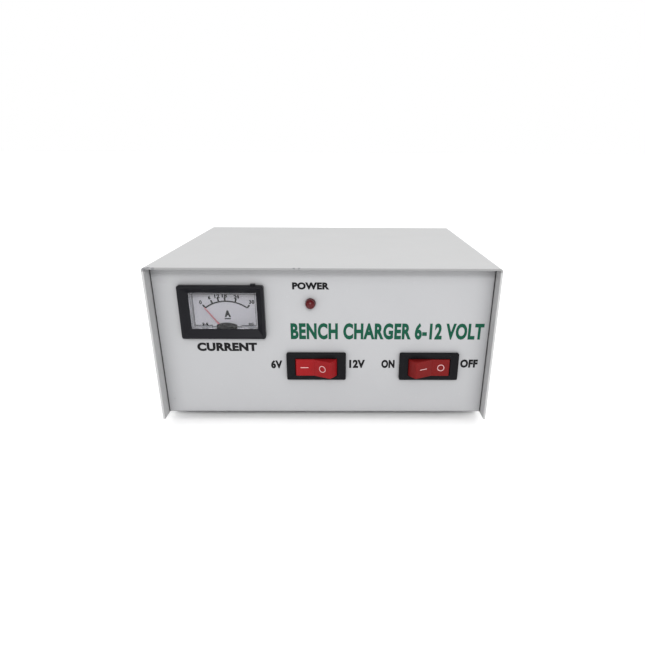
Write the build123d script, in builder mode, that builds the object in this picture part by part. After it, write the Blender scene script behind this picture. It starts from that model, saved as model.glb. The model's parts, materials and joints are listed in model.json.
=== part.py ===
from build123d import *
import os
from math import cos, pi, radians, sin, sqrt, tan

# Bench-top car battery charger: a bent-sheet case with an ammeter, a power lamp and two rocker
# switches on its front, and a transformer, a rectifier and a fuse inside.
# Millimetres, +Z up. The origin is on the ground under the middle of the whole object,
# and the front panel faces -Y.

os.makedirs("parts", exist_ok=True)

# ---- Driving dimensions: case ----
CASE_W = 172.0  # outside width of the cover
CASE_H = 82.4  # cover, lower edge to top face
COVER_D = 125.6  # cover, front edge to rear edge
OVERHANG = 6.8  # how far the cover stands in front of the front panel
REAR_LIP = 1.6  # how far the cover stands behind the rear panel
SHEET = 1.0
BEND = 1.6  # outside radius of a bend in the sheet
FIT_GAP = 0.4  # painted sheet to painted sheet
SLIP = 0.1  # a part that is pushed into a hole, all round
RUNNING = 0.05  # a pin that turns in its hole, all round
FLANGE_H = 10.0  # upturned edges of the base, which take the cover screws
FOOT_H = 5.0
FOOT_R = 7.0
FOOT_INSET = 20.0  # foot centre from the case's front, rear and sides

# ---- Driving dimensions: front panel, x from the middle, z up from the case's lower edge ----
SWITCH_Z = 28.3
SWITCHES = {"voltage": -4.3, "power": 54.8}  # middle of each rocker switch
SWITCH_TILT = {"voltage": -12.0, "power": 12.0}  # rocker's turn about +Z in the stored pose
SWITCH_WAYS = {"voltage": (-1, 0, 1), "power": (-1, 0)}  # its contacts, left to right
METER_X = -51.0
METER_LOW = 44.2
METER_W = 42.6
METER_H = 28.0
METER_PROUD = 2.6
WINDOW = (-50.6, 58.5)  # middle of the meter's window
WINDOW_W = 33.9
WINDOW_H = 19.3
STAFF = (-50.1, 44.8)  # axis that the meter's needle turns about
LED = (-6.7, 62.8)

# ---- Driving dimensions: rear panel and what stands on the base ----
FUSE = (-58.0, 40.0)
MAINS_HOLE = (66.0, 20.0)
OUTPUT_HOLE = (-30.0, 20.0)
GROMMET_BORE_R = 3.75
FUSE_FLANGE = 2.0
FUSE_CAP = 9.0
TRANSFORMER = (33.0, 70.0)  # x, and how far behind the front panel
RECTIFIER = (-50.0, 62.0)
EARTH = (46.0, 108.0)

CHASSIS_W = CASE_W - 2 * (SHEET + FIT_GAP)
CHASSIS_H = CASE_H - SHEET - FIT_GAP
CHASSIS_D = COVER_D - OVERHANG - REAR_LIP
FRONT_Y = -(CHASSIS_D + FUSE_FLANGE + FUSE_CAP - OVERHANG) / 2
BASE_TOP = FOOT_H + SHEET
BOLT_R = 1.5  # M3
BOLT_HOLE_R = 1.6
HEAD_R = 2.8
HEAD_H = 1.8
NUT_FLATS = 5.5
NUT_H = 2.4
BIG_BOLT_R = 2.0  # M4
BIG_BOLT_HOLE_R = 2.1
BIG_HEAD_R = 3.8
BIG_HEAD_H = 2.4
BIG_NUT_FLATS = 7.0
BIG_NUT_H = 3.2
BIG_BOLT_LENGTH = 11.0
SCREW_END = 0.8  # thread past the nut
HEX = 2 / sqrt(3)  # a hexagon's corners over its flats


def front(back=0.0):
    """Plane along the front panel, so far behind its face: x across, y up from the case's edge."""
    return Plane(origin=(0, FRONT_Y + back, FOOT_H), x_dir=(1, 0, 0), z_dir=(0, -1, 0))


def level(height=0.0):
    """Level plane so high above the top of the case's base: x across, y back from the panel."""
    return Plane(origin=(0, FRONT_Y, BASE_TOP + height), x_dir=(1, 0, 0), z_dir=(0, 0, 1))


def mirrored(x, y):
    """The four points (+-x, +-y)."""
    return [(x, y), (-x, y), (x, -y), (-x, -y)]


# ---------------------------------------------------------------- case

FOOT_SPOTS = [
    (side * (CASE_W / 2 - FOOT_INSET), back)
    for side in (-1, 1)
    for back in (FOOT_INSET, CHASSIS_D - FOOT_INSET)
]
SIDE_SCREWS = (FOOT_INSET, CHASSIS_D - FOOT_INSET)  # behind the front panel
SIDE_SCREW_Z = 6.0  # above the case's lower edge
VENT_W = 2.6
VENT_L = 30.0
VENT_PITCH = 6.5
SIDE_VENTS = 9
REAR_VENTS = 9
REAR_VENT_MID = (21.0, 47.2)

# The cover is one sheet bent down twice, over the top and both sides.
with BuildPart() as cover:
    with BuildSketch(front(-OVERHANG)):
        with Locations((0, CASE_H / 2)):
            Rectangle(CASE_W, CASE_H)
        with Locations((0, (CASE_H - SHEET) / 2)):
            Rectangle(CASE_W - 2 * SHEET, CASE_H - SHEET, mode=Mode.SUBTRACT)
    extrude(amount=-COVER_D)
    along = cover.edges().filter_by(Axis.Y)
    top_edges = along.group_by(Axis.Z)[-1]
    under_edges = along.group_by(Axis.Z)[-2]
    fillet(top_edges, radius=BEND)
    fillet(under_edges, radius=BEND - SHEET)
    side_plane = Plane(origin=(0, FRONT_Y, FOOT_H), x_dir=(0, 1, 0), z_dir=(1, 0, 0))
    with BuildSketch(side_plane):
        with Locations([(back, SIDE_SCREW_Z) for back in SIDE_SCREWS]):
            Circle(BOLT_HOLE_R)
        with Locations((CHASSIS_D / 2, CASE_H / 2)):
            with GridLocations(VENT_PITCH, 1, SIDE_VENTS, 1):
                SlotOverall(VENT_L, VENT_W, rotation=90)
    extrude(amount=CASE_W / 2, both=True, mode=Mode.SUBTRACT)
cover.part.label = "cover"
export_step(cover.part, "parts/cover.step")

METER_CUT_LOW = 45.4
METER_CUT_TOP = 70.6
METER_CUT_W = 36.0
METER_CUT_R = 1.0
SWITCH_BODY_W = 27.0
SWITCH_BODY_H = 12.0
LED_R = 2.5
FUSE_R = 6.3
GROMMET_R = 6.5  # the panel's hole, which the grommet's groove sits in
TRANSFORMER_W = 76.2
FRAME_SHEET = 1.5
FRAME_FOOT = 9.0
TRANSFORMER_BOLTS = (TRANSFORMER_W / 2 + FRAME_SHEET + FRAME_FOOT / 2, 12.0)

# The chassis is one sheet bent up twice: front panel, base and rear panel. Its base has an
# upturned flange along each side.
with BuildPart() as chassis:
    profile_plane = Plane(
        origin=(-CHASSIS_W / 2, FRONT_Y, FOOT_H), x_dir=(0, 1, 0), z_dir=(1, 0, 0)
    )
    with BuildSketch(profile_plane):
        with Locations((CHASSIS_D / 2, CHASSIS_H / 2)):
            Rectangle(CHASSIS_D, CHASSIS_H)
        with Locations((CHASSIS_D / 2, (CHASSIS_H + SHEET) / 2)):
            Rectangle(CHASSIS_D - 2 * SHEET, CHASSIS_H - SHEET, mode=Mode.SUBTRACT)
    extrude(amount=CHASSIS_W)
    across = chassis.edges().filter_by(Axis.X)
    fillet(across.group_by(Axis.Z)[0], radius=BEND)
    fillet(across.group_by(Axis.Z)[1], radius=BEND - SHEET)
    flange_back = CHASSIS_D / 2
    with BuildSketch(level()):
        for side in (-1, 1):
            with Locations((side * (CHASSIS_W - SHEET) / 2, flange_back)):
                Rectangle(SHEET, CHASSIS_D - 4 * BEND)
    extrude(amount=FLANGE_H)
    with BuildSketch(side_plane):
        with Locations([(back, SIDE_SCREW_Z) for back in SIDE_SCREWS]):
            Circle(BOLT_HOLE_R)
    extrude(amount=CASE_W / 2, both=True, mode=Mode.SUBTRACT)
    with BuildSketch(front()):
        with Locations((WINDOW[0], (METER_CUT_LOW + METER_CUT_TOP) / 2)):
            RectangleRounded(METER_CUT_W, METER_CUT_TOP - METER_CUT_LOW, METER_CUT_R)
        with Locations(LED):
            Circle(LED_R + SLIP)
        with Locations([(x, SWITCH_Z) for x in SWITCHES.values()]):
            Rectangle(SWITCH_BODY_W + 3 * SLIP, SWITCH_BODY_H + 3 * SLIP)
    extrude(amount=-2 * SHEET, mode=Mode.SUBTRACT)
    with BuildSketch(front(CHASSIS_D)):
        with Locations(FUSE):
            Circle(FUSE_R + SLIP)
        with Locations(MAINS_HOLE, OUTPUT_HOLE):
            Circle(GROMMET_R)
        with Locations(REAR_VENT_MID):
            with GridLocations(VENT_PITCH, 1, REAR_VENTS, 1):
                SlotOverall(VENT_L, VENT_W, rotation=90)
    extrude(amount=2 * SHEET, mode=Mode.SUBTRACT)
    with BuildSketch(level(-2 * SHEET)):
        with Locations(FOOT_SPOTS):
            Circle(BOLT_HOLE_R)
        with Locations(EARTH, RECTIFIER):
            Circle(BIG_BOLT_HOLE_R)
        with Locations(TRANSFORMER):
            with Locations(mirrored(*TRANSFORMER_BOLTS)):
                Circle(BIG_BOLT_HOLE_R)
    extrude(amount=3 * SHEET, mode=Mode.SUBTRACT)
chassis.part.label = "chassis"
export_step(chassis.part, "parts/chassis.step")

SIDE_SCREW_LENGTH = 8.0
HEAD_ROUND = 0.7
CROSS_L = 3.2
CROSS_W = 0.7
CROSS_DEEP = 0.9
with BuildPart() as cover_screws:
    for side in (-1, 1):
        head_plane = Plane(
            origin=(side * CASE_W / 2, FRONT_Y, FOOT_H), x_dir=(0, 1, 0), z_dir=(side, 0, 0)
        )
        spots = [(back, side * SIDE_SCREW_Z) for back in SIDE_SCREWS]
        with BuildSketch(head_plane):
            with Locations(spots):
                Circle(HEAD_R)
        extrude(amount=HEAD_H)
        with BuildSketch(head_plane):
            with Locations(spots):
                Circle(BOLT_R)
        extrude(amount=-SIDE_SCREW_LENGTH)
        outward = Axis((0, 0, 0), (side, 0, 0))
        outer_faces = cover_screws.faces().sort_by(outward)[-len(spots):]
        fillet(outer_faces.edges(), radius=HEAD_ROUND)
        with BuildSketch(head_plane.offset(HEAD_H)):
            with Locations(spots):
                Rectangle(CROSS_L, CROSS_W)
                Rectangle(CROSS_W, CROSS_L)
        extrude(amount=-CROSS_DEEP, mode=Mode.SUBTRACT)
cover_screws.part.label = "cover_screws"
export_step(cover_screws.part, "parts/cover_screws.step")

FOOT_WELL_R = 3.6
FOOT_WELL_H = 2.6
FOOT_LOW_R = 6.2
FOOT_TAPER = -8.0  # degrees, wider towards the case
ground = level(-BASE_TOP)
with BuildPart() as feet:
    with BuildSketch(ground):
        with Locations(FOOT_SPOTS):
            Circle(FOOT_LOW_R)
    extrude(amount=FOOT_H, taper=FOOT_TAPER)
    with BuildSketch(ground):
        with Locations(FOOT_SPOTS):
            Circle(FOOT_WELL_R)
    extrude(amount=FOOT_WELL_H, mode=Mode.SUBTRACT)
    with BuildSketch(ground):
        with Locations(FOOT_SPOTS):
            Circle(BOLT_HOLE_R)
    extrude(amount=FOOT_H, mode=Mode.SUBTRACT)
feet.part.label = "feet"
export_step(feet.part, "parts/feet.step")

with BuildPart() as foot_screws:
    with BuildSketch(level(-SHEET - FOOT_H + FOOT_WELL_H)):
        with Locations(FOOT_SPOTS):
            Circle(HEAD_R)
    extrude(amount=-HEAD_H)
    with BuildSketch(level(-SHEET - FOOT_H + FOOT_WELL_H)):
        with Locations(FOOT_SPOTS):
            Circle(BOLT_R)
    extrude(amount=FOOT_H - FOOT_WELL_H + SHEET + NUT_H + SCREW_END)
foot_screws.part.label = "foot_screws"
export_step(foot_screws.part, "parts/foot_screws.step")

with BuildPart() as foot_nuts:
    with BuildSketch(level()):
        with Locations(FOOT_SPOTS):
            RegularPolygon(NUT_FLATS / 2 * HEX, 6)
            Circle(BOLT_HOLE_R, mode=Mode.SUBTRACT)
    extrude(amount=NUT_H)
foot_nuts.part.label = "foot_nuts"
export_step(foot_nuts.part, "parts/foot_nuts.step")

# ---------------------------------------------------------------- rocker switches

BEZEL_W = 31.0
BEZEL_H = 15.2
BEZEL_T = 2.0
BEZEL_CORNER = 0.8
BEZEL_ROUND = 0.6
PIVOT_BACK = 3.0  # rocker's hinge line behind the panel's face
ROCKER_R = 11.8  # curved ends of the rocker, about its hinge line
ROCKER_H = 9.3
CAVITY_R = 12.1
CAVITY_H = 9.8
ROCKER_FACE = 5.6  # hinge line to each of the rocker's two flats
TRUNNION_R = 1.5
TRUNNION_L = 0.9
HOUSING_BACK = 13.6  # housing's back behind the hinge line
BLADE_W = 4.8
BLADE_T = 0.8
BLADE_L = 8.0
LEVER_BACK = 8.5
LEVER_L = 13.0
LEVER_T = 0.6
REST_STEP = 0.6  # middle contact's head behind the lever's hinge line
CONTACT_STEP = 1.4  # outer contacts' heads behind the same line
LEVER_TILT = -8.0 / 12.0  # contact lever's turn over the rocker's
CONTACT_X = 5.5
PLUNGER_TIP = 7.3
BORE_R = 1.5
HEAD_W = 2.4  # contact head on a terminal
HEAD_T = 0.6
HEAD_RECESS = 1.2
HEAD_RECESS_BACK = 1.7  # its middle behind the lever's hinge line
BLADE_SLOT_D = 5.6
ROCKER_BACK = 2.0  # rocker's flat back behind its hinge line
ROCKER_ROUND = 0.7
STEM = (5.2, 3.0, 5.2)  # block behind the rocker that holds the plunger: across, deep, tall
STEM_MID = 3.2  # its middle behind the hinge line
BORE_DEEP = 6.5
BORE_FROM = 5.0
PLUNGER_NOSE = 1.3  # rounded end
PLUNGER_L = 3.6
SPRING_WIRE = 0.15
SPRING_R = 1.0
SPRING_PITCH = 0.75
SPRING_L = 3.0


def hinge_plane(x, turn=0.0):
    """Level plane through a rocker's hinge line, turned with it: x across, y out of the panel."""
    upright = Plane(
        origin=(x, FRONT_Y + PIVOT_BACK, FOOT_H + SWITCH_Z), x_dir=(1, 0, 0), z_dir=(0, 0, -1)
    )
    return upright.rotated((0, 0, turn))


for switch, middle in SWITCHES.items():
    still = hinge_plane(middle)
    turned = hinge_plane(middle, SWITCH_TILT[switch])
    blades = [side * CONTACT_X for side in SWITCH_WAYS[switch]]

    with BuildPart() as housing:
        with BuildSketch(front()):
            with Locations((middle, SWITCH_Z)):
                RectangleRounded(BEZEL_W, BEZEL_H, BEZEL_CORNER)
        extrude(amount=BEZEL_T)
        fillet(housing.faces().sort_by(Axis.Y)[0].edges(), radius=BEZEL_ROUND)
        with BuildSketch(front()):
            with Locations((middle, SWITCH_Z)):
                Rectangle(SWITCH_BODY_W, SWITCH_BODY_H)
        extrude(amount=-(PIVOT_BACK + HOUSING_BACK))
        with BuildSketch(still):
            Circle(CAVITY_R)
        extrude(amount=CAVITY_H / 2, both=True, mode=Mode.SUBTRACT)
        with BuildSketch(still):
            Circle(TRUNNION_R + RUNNING)
        extrude(amount=SWITCH_BODY_H, both=True, mode=Mode.SUBTRACT)
        with BuildSketch(still):
            with Locations([(x, -HOUSING_BACK) for x in blades]):
                Rectangle(BLADE_T + SLIP, BLADE_SLOT_D)
            with Locations([(x, -LEVER_BACK - HEAD_RECESS_BACK) for x in blades]):
                Rectangle(HEAD_W + 2 * SLIP, HEAD_RECESS)
        extrude(amount=BLADE_W / 2 + SLIP / 2, both=True, mode=Mode.SUBTRACT)
    housing.part.label = f"{switch}_switch_housing"
    export_step(housing.part, f"parts/{switch}_switch_housing.step")

    # The rocker is a slice of a cylinder about its hinge line, with a shallow V for a face.
    with BuildPart() as rocker:
        with BuildSketch(turned):
            Circle(ROCKER_R)
            for lean in (-SWITCH_TILT["power"], SWITCH_TILT["power"]):
                vee = ROCKER_R + ROCKER_FACE * tan(radians(abs(lean)))
                with Locations(Rotation(0, 0, lean)):
                    with Locations((vee * lean / abs(lean), ROCKER_FACE + ROCKER_R / 2)):
                        Rectangle(2 * ROCKER_R, ROCKER_R, mode=Mode.SUBTRACT)
            with Locations((0, -ROCKER_BACK - ROCKER_R / 2)):
                Rectangle(2 * ROCKER_R, ROCKER_R, mode=Mode.SUBTRACT)
        extrude(amount=ROCKER_H / 2, both=True)
        front_edge = rocker.edges().filter_by(Axis.Z).sort_by(Axis.Y)[0]
        fillet(front_edge, radius=ROCKER_ROUND)
        with BuildSketch(turned):
            with Locations((0, -STEM_MID)):
                Rectangle(STEM[0], STEM[1])
        extrude(amount=STEM[2] / 2, both=True)
        with BuildSketch(turned):
            Circle(TRUNNION_R)
        extrude(amount=ROCKER_H / 2 + TRUNNION_L, both=True)
        stem_foot = turned.from_local_coords((0, -BORE_FROM, 0))
        with BuildSketch(Plane(origin=stem_foot, z_dir=turned.y_dir)):
            Circle(BORE_R)
        extrude(amount=BORE_DEEP, mode=Mode.SUBTRACT)
    rocker.part.label = f"{switch}_rocker"
    export_step(rocker.part, f"parts/{switch}_rocker.step")

    tip = Plane(origin=turned.from_local_coords((0, -PLUNGER_TIP, 0)), z_dir=turned.y_dir)
    with BuildPart() as plunger:
        with BuildSketch(tip.offset(PLUNGER_NOSE)):
            Circle(BORE_R - SLIP)
        extrude(amount=PLUNGER_L)
        fillet(plunger.faces().sort_by(Axis.Y)[-1].edges(), radius=BORE_R - 3 * SLIP)
    plunger.part.label = f"{switch}_plunger"
    export_step(plunger.part, f"parts/{switch}_plunger.step")

    spring_low = PLUNGER_TIP - PLUNGER_NOSE - PLUNGER_L - 2 * SPRING_WIRE
    with BuildPart() as spring:
        foot = turned.from_local_coords((0, -spring_low, 0))
        with BuildLine():
            coil = Helix(SPRING_PITCH, SPRING_L, SPRING_R, center=foot, direction=turned.y_dir)
        with BuildSketch(Plane(origin=coil @ 0, z_dir=coil % 0)):
            Circle(SPRING_WIRE)
        sweep(path=coil)
    spring.part.label = f"{switch}_plunger_spring"
    export_step(spring.part, f"parts/{switch}_plunger_spring.step")

    lever_turn = SWITCH_TILT[switch] * LEVER_TILT
    lever_plane = Plane(
        origin=still.from_local_coords((0, -LEVER_BACK, 0)), x_dir=(1, 0, 0), z_dir=(0, 0, -1)
    ).rotated((0, 0, lever_turn))
    with BuildPart() as lever:
        with BuildSketch(lever_plane):
            Rectangle(LEVER_L, LEVER_T)
        extrude(amount=BLADE_W / 2, both=True)
    lever.part.label = f"{switch}_contact_lever"
    export_step(lever.part, f"parts/{switch}_contact_lever.step")

    # Each terminal is a blade through the housing's back, with a contact head under the lever.
    with BuildPart() as terminals:
        for x in blades:
            head_back = LEVER_BACK + (REST_STEP if x == 0 else CONTACT_STEP)
            blade_l = HOUSING_BACK + BLADE_L - head_back
            with BuildSketch(still):
                with Locations((x, -head_back - blade_l / 2)):
                    Rectangle(BLADE_T, blade_l)
                with Locations((x, -head_back - HEAD_T / 2)):
                    Rectangle(HEAD_W, HEAD_T)
            extrude(amount=BLADE_W / 2, both=True)
    terminals.part.label = f"{switch}_terminals"
    export_step(terminals.part, f"parts/{switch}_terminals.step")

# ---------------------------------------------------------------- ammeter

METER_MID_Z = METER_LOW + METER_H / 2
RIM = 1.2
WINDOW_PROUD = 0.3  # bezel's throat in front of the panel's face
WINDOW_T = 1.0
WINDOW_GAP = 0.1
METER_CORNER = 1.0
METER_ROUND = 0.5
BODY_CORNER = 1.5
NUB_X = -34.9  # small moulded lug on the bezel's top edge
NUB_W = 2.4
NUB_H = 0.7
NUB_D = 1.6
BODY_W = 41.0
BODY_LOW = 36.4
BODY_TOP = 72.2
BODY_D = 23.8
BODY_WALL = 1.4
RAIL_W = 2.0
DIAL_BACK = 4.1
DIAL_T = 0.4
DIAL_LOW = 46.4
DIAL_TOP = 70.7
NEEDLE_BACK = 3.3
NEEDLE_LOW = -37.0  # needle at zero, from straight up
NEEDLE_FOOT = 0.4  # half its width at the staff
NEEDLE_TIP = 0.12  # half its width at the tip
NEEDLE_T = 0.5
NEEDLE_PAST = 0.6  # tip beyond the scale's line
SCALE_R = 17.6
HUB_R = 0.95
HUB_T = 0.8
STAFF_R = 0.4
BEARING_GAP = 0.05
STAFF_IN = 0.2  # how far the staff's end must reach past the front of the rear bearing
REAR_BEARING = 19.8
BEARING_DEEP = 1.0
BEARING_BOSS_R = 1.6
COIL_FRONT = 6.8
COIL_D = 8.0
COIL_R = 4.6
COIL_T = 0.7
COIL_TALL = 1.8
CORE_R = 3.5
MAGNET_IN_R = 5.0
MAGNET_OUT_R = 6.6
STUD_X = 10.0
STUD_Z = 60.0
STUD_OUT = 12.0
STUD_HEAD_R = 3.4
STUD_HEAD_H = 1.6

cut_mid = (WINDOW[0], (METER_CUT_LOW + METER_CUT_TOP) / 2)
cut_h = METER_CUT_TOP - METER_CUT_LOW
SKIRT_GAP = 0.2
with BuildPart() as meter_bezel:
    with BuildSketch(front()):
        with Locations((METER_X, METER_MID_Z)):
            RectangleRounded(METER_W, METER_H, METER_CORNER)
    extrude(amount=METER_PROUD)
    with BuildSketch(front()):
        with Locations((NUB_X, METER_LOW + METER_H)):
            Rectangle(NUB_W, 2 * NUB_H)
    extrude(amount=NUB_D)
    # A skirt behind the rim fills the hole in the panel.
    with BuildSketch(front()):
        with Locations(cut_mid):
            RectangleRounded(METER_CUT_W - 2 * SKIRT_GAP, cut_h - 2 * SKIRT_GAP, METER_CUT_R)
    extrude(amount=-SHEET)
    with BuildSketch(front(SHEET)):
        with Locations(WINDOW):
            Rectangle(WINDOW_W, WINDOW_H)
    extrude(amount=SHEET + METER_PROUD, mode=Mode.SUBTRACT)
    # The frame slopes in from its rim to the window, with mitred corners.
    with BuildSketch(front(-WINDOW_PROUD)) as throat:
        with Locations(WINDOW):
            Rectangle(WINDOW_W, WINDOW_H)
    with BuildSketch(front(-METER_PROUD)) as mouth:
        with Locations((METER_X, METER_MID_Z)):
            Rectangle(METER_W - 2 * RIM, METER_H - 2 * RIM)
    loft(sections=[throat.sketch, mouth.sketch], mode=Mode.SUBTRACT)
    fillet(meter_bezel.faces().sort_by(Axis.Y)[0].outer_wire().edges(), radius=METER_ROUND)
meter_bezel.part.label = "meter_bezel"
export_step(meter_bezel.part, "parts/meter_bezel.step")

# The window is a clear tray: a flat face, walls that run back to the dial, and a flange.
FLANGE_T = 0.8
FLANGE_LIFT = 0.3
NOTCH_W = 15.0
NOTCH_H = 4.0
NOTCH_FRONT = 1.6
window_front = WINDOW_GAP - WINDOW_PROUD
window_w = WINDOW_W - 2 * WINDOW_GAP
window_h = WINDOW_H - 2 * WINDOW_GAP
window_deep = DIAL_BACK - window_front
with BuildPart() as meter_window:
    with BuildSketch(front(window_front)):
        with Locations(WINDOW):
            Rectangle(window_w, window_h)
    extrude(amount=-(window_deep - FLANGE_T))
    with BuildSketch(front(SHEET + WINDOW_GAP)):
        with Locations((WINDOW[0], WINDOW[1] + FLANGE_LIFT)):
            Rectangle(METER_CUT_W - 2 * SKIRT_GAP, WINDOW_H + FLANGE_T)
    extrude(amount=-FLANGE_T)
    with BuildSketch(front(window_front + WINDOW_T)):
        with Locations(WINDOW):
            Rectangle(window_w - 2 * WINDOW_T, window_h - 2 * WINDOW_T)
    extrude(amount=-window_deep, mode=Mode.SUBTRACT)
    # A notch behind the front of the lower wall lets the needle and the bridge through.
    with BuildSketch(front(NOTCH_FRONT)):
        with Locations((STAFF[0], WINDOW[1] - WINDOW_H / 2)):
            Rectangle(NOTCH_W, NOTCH_H)
    extrude(amount=-window_deep, mode=Mode.SUBTRACT)
meter_window.part.label = "meter_window"
export_step(meter_window.part, "parts/meter_window.step")

# The body is a cup behind the panel, with a rail down each side for the dial plate.
body_mid = (METER_X, (BODY_LOW + BODY_TOP) / 2)
body_h = BODY_TOP - BODY_LOW
body_floor = SHEET + BODY_D - BODY_WALL
with BuildPart() as meter_body:
    with BuildSketch(front(SHEET)):
        with Locations(body_mid):
            RectangleRounded(BODY_W, body_h, BODY_CORNER)
    extrude(amount=-BODY_D)
    with BuildSketch(front(SHEET)):
        with Locations(body_mid):
            Rectangle(BODY_W - 2 * BODY_WALL, body_h - 2 * BODY_WALL)
    extrude(amount=-(BODY_D - BODY_WALL), mode=Mode.SUBTRACT)
    with BuildSketch(front(DIAL_BACK + DIAL_T)):
        for side in (-1, 1):
            rail_x = METER_X + side * (BODY_W / 2 - BODY_WALL - RAIL_W / 2)
            with Locations((rail_x, body_mid[1])):
                Rectangle(RAIL_W, body_h - 2 * BODY_WALL)
    extrude(amount=-(body_floor - DIAL_BACK - DIAL_T))
    with BuildSketch(front(REAR_BEARING)):
        with Locations(STAFF):
            Circle(BEARING_BOSS_R)
    extrude(amount=-(body_floor - REAR_BEARING))
    with BuildSketch(front(REAR_BEARING)):
        with Locations(STAFF):
            Circle(STAFF_R + BEARING_GAP)
    extrude(amount=-BEARING_DEEP, mode=Mode.SUBTRACT)
    with BuildSketch(front(SHEET + BODY_D)):
        with Locations([(METER_X + side * STUD_X, STUD_Z) for side in (-1, 1)]):
            Circle(BIG_BOLT_HOLE_R)
    extrude(amount=2 * BODY_WALL, mode=Mode.SUBTRACT)
meter_body.part.label = "meter_body"
export_step(meter_body.part, "parts/meter_body.step")

with BuildPart() as dial_plate:
    with BuildSketch(front(DIAL_BACK)):
        with Locations((METER_X, (DIAL_LOW + DIAL_TOP) / 2)):
            Rectangle(BODY_W - 2 * BODY_WALL - 2 * SKIRT_GAP, DIAL_TOP - DIAL_LOW)
    extrude(amount=-DIAL_T)
dial_plate.part.label = "dial_plate"
export_step(dial_plate.part, "parts/dial_plate.step")

# The bridge in front of the needle's foot has a low curved top and stands on two posts.
BRIDGE_R = 12.0
BRIDGE_TOP = 51.4
BRIDGE_W = 10.4
BRIDGE_T = 0.8
BRIDGE_FRONT = 1.9
BRIDGE_BELOW = 1.0  # its lower edge under the staff
PIVOT_DEPTH = 0.5
POST_X = 4.4
POST_R = 0.7
YOKE_T = 0.8
YOKE_IN_R = 3.0
YOKE_FRONT = COIL_FRONT - 1.0
MAGNET_SPARE = 0.4  # magnet's length over the coil's
with BuildPart() as meter_bridge:
    with BuildSketch(front(BRIDGE_FRONT)):
        with Locations((STAFF[0], BRIDGE_TOP - BRIDGE_R)):
            Circle(BRIDGE_R)
        with Locations((STAFF[0], STAFF[1] - BRIDGE_BELOW)):
            Rectangle(BRIDGE_W, 2 * BRIDGE_R, align=(Align.CENTER, Align.MIN), mode=Mode.INTERSECT)
    extrude(amount=-BRIDGE_T)
    with BuildSketch(front(BRIDGE_FRONT + BRIDGE_T)):
        with Locations([(STAFF[0] + side * POST_X, STAFF[1]) for side in (-1, 1)]):
            Circle(POST_R)
    extrude(amount=-(YOKE_FRONT - BRIDGE_FRONT - BRIDGE_T))
    with BuildSketch(front(BRIDGE_FRONT + BRIDGE_T)):
        with Locations(STAFF):
            Circle(STAFF_R + BEARING_GAP)
    extrude(amount=PIVOT_DEPTH, mode=Mode.SUBTRACT)
meter_bridge.part.label = "meter_bridge"
export_step(meter_bridge.part, "parts/meter_bridge.step")

# The yoke plate carries the bridge's posts and stands on the magnet.
with BuildPart() as meter_yoke:
    with BuildSketch(front(YOKE_FRONT)):
        with Locations(STAFF):
            Circle(MAGNET_OUT_R)
            Circle(YOKE_IN_R, mode=Mode.SUBTRACT)
    extrude(amount=-YOKE_T)
meter_yoke.part.label = "meter_yoke"
export_step(meter_yoke.part, "parts/meter_yoke.step")

with BuildPart() as meter_magnet:
    with BuildSketch(front(YOKE_FRONT + YOKE_T)):
        with Locations(STAFF):
            Circle(MAGNET_OUT_R)
            Circle(MAGNET_IN_R, mode=Mode.SUBTRACT)
    extrude(amount=-(COIL_D + MAGNET_SPARE))
meter_magnet.part.label = "meter_magnet"
export_step(meter_magnet.part, "parts/meter_magnet.step")

# The iron core sits inside the coil, held from above and below by a strap to the magnet.
CORE_STEP = 1.2  # core's end inside the coil's end
CORE_STRAP_W = 1.4
CORE_BORE_R = 0.9
with BuildPart() as meter_core:
    with BuildSketch(front(COIL_FRONT + CORE_STEP)):
        with Locations(STAFF):
            Circle(CORE_R)
            Rectangle(CORE_STRAP_W, 2 * MAGNET_IN_R - SLIP)
            Circle(CORE_BORE_R, mode=Mode.SUBTRACT)
    extrude(amount=-(COIL_D - 2 * CORE_STEP))
meter_core.part.label = "meter_core"
export_step(meter_core.part, "parts/meter_core.step")

with BuildPart() as pointer:
    staff_frame = Plane(
        origin=(STAFF[0], FRONT_Y + NEEDLE_BACK, FOOT_H + STAFF[1]),
        x_dir=(1, 0, 0),
        z_dir=(0, -1, 0),
    ).rotated((0, NEEDLE_LOW, 0))
    with BuildSketch(staff_frame):
        with BuildLine():
            Polyline(
                (-NEEDLE_FOOT, 0),
                (NEEDLE_FOOT, 0),
                (NEEDLE_TIP, SCALE_R + NEEDLE_PAST),
                (-NEEDLE_TIP, SCALE_R + NEEDLE_PAST),
                close=True,
            )
        make_face()
    extrude(amount=NEEDLE_T / 2, both=True)
    with BuildSketch(staff_frame):
        Circle(HUB_R)
    extrude(amount=HUB_T / 2, both=True)
    with BuildSketch(staff_frame.offset(HUB_T / 2)):
        Circle(STAFF_R)
    extrude(amount=NEEDLE_BACK - HUB_T / 2 - BRIDGE_FRONT - BRIDGE_T + PIVOT_DEPTH - BEARING_GAP)
    with BuildSketch(staff_frame.offset(-HUB_T / 2)):
        Circle(STAFF_R)
    extrude(amount=-(REAR_BEARING - NEEDLE_BACK + STAFF_IN))
pointer.part.label = "pointer"
export_step(pointer.part, "parts/pointer.step")

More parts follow.
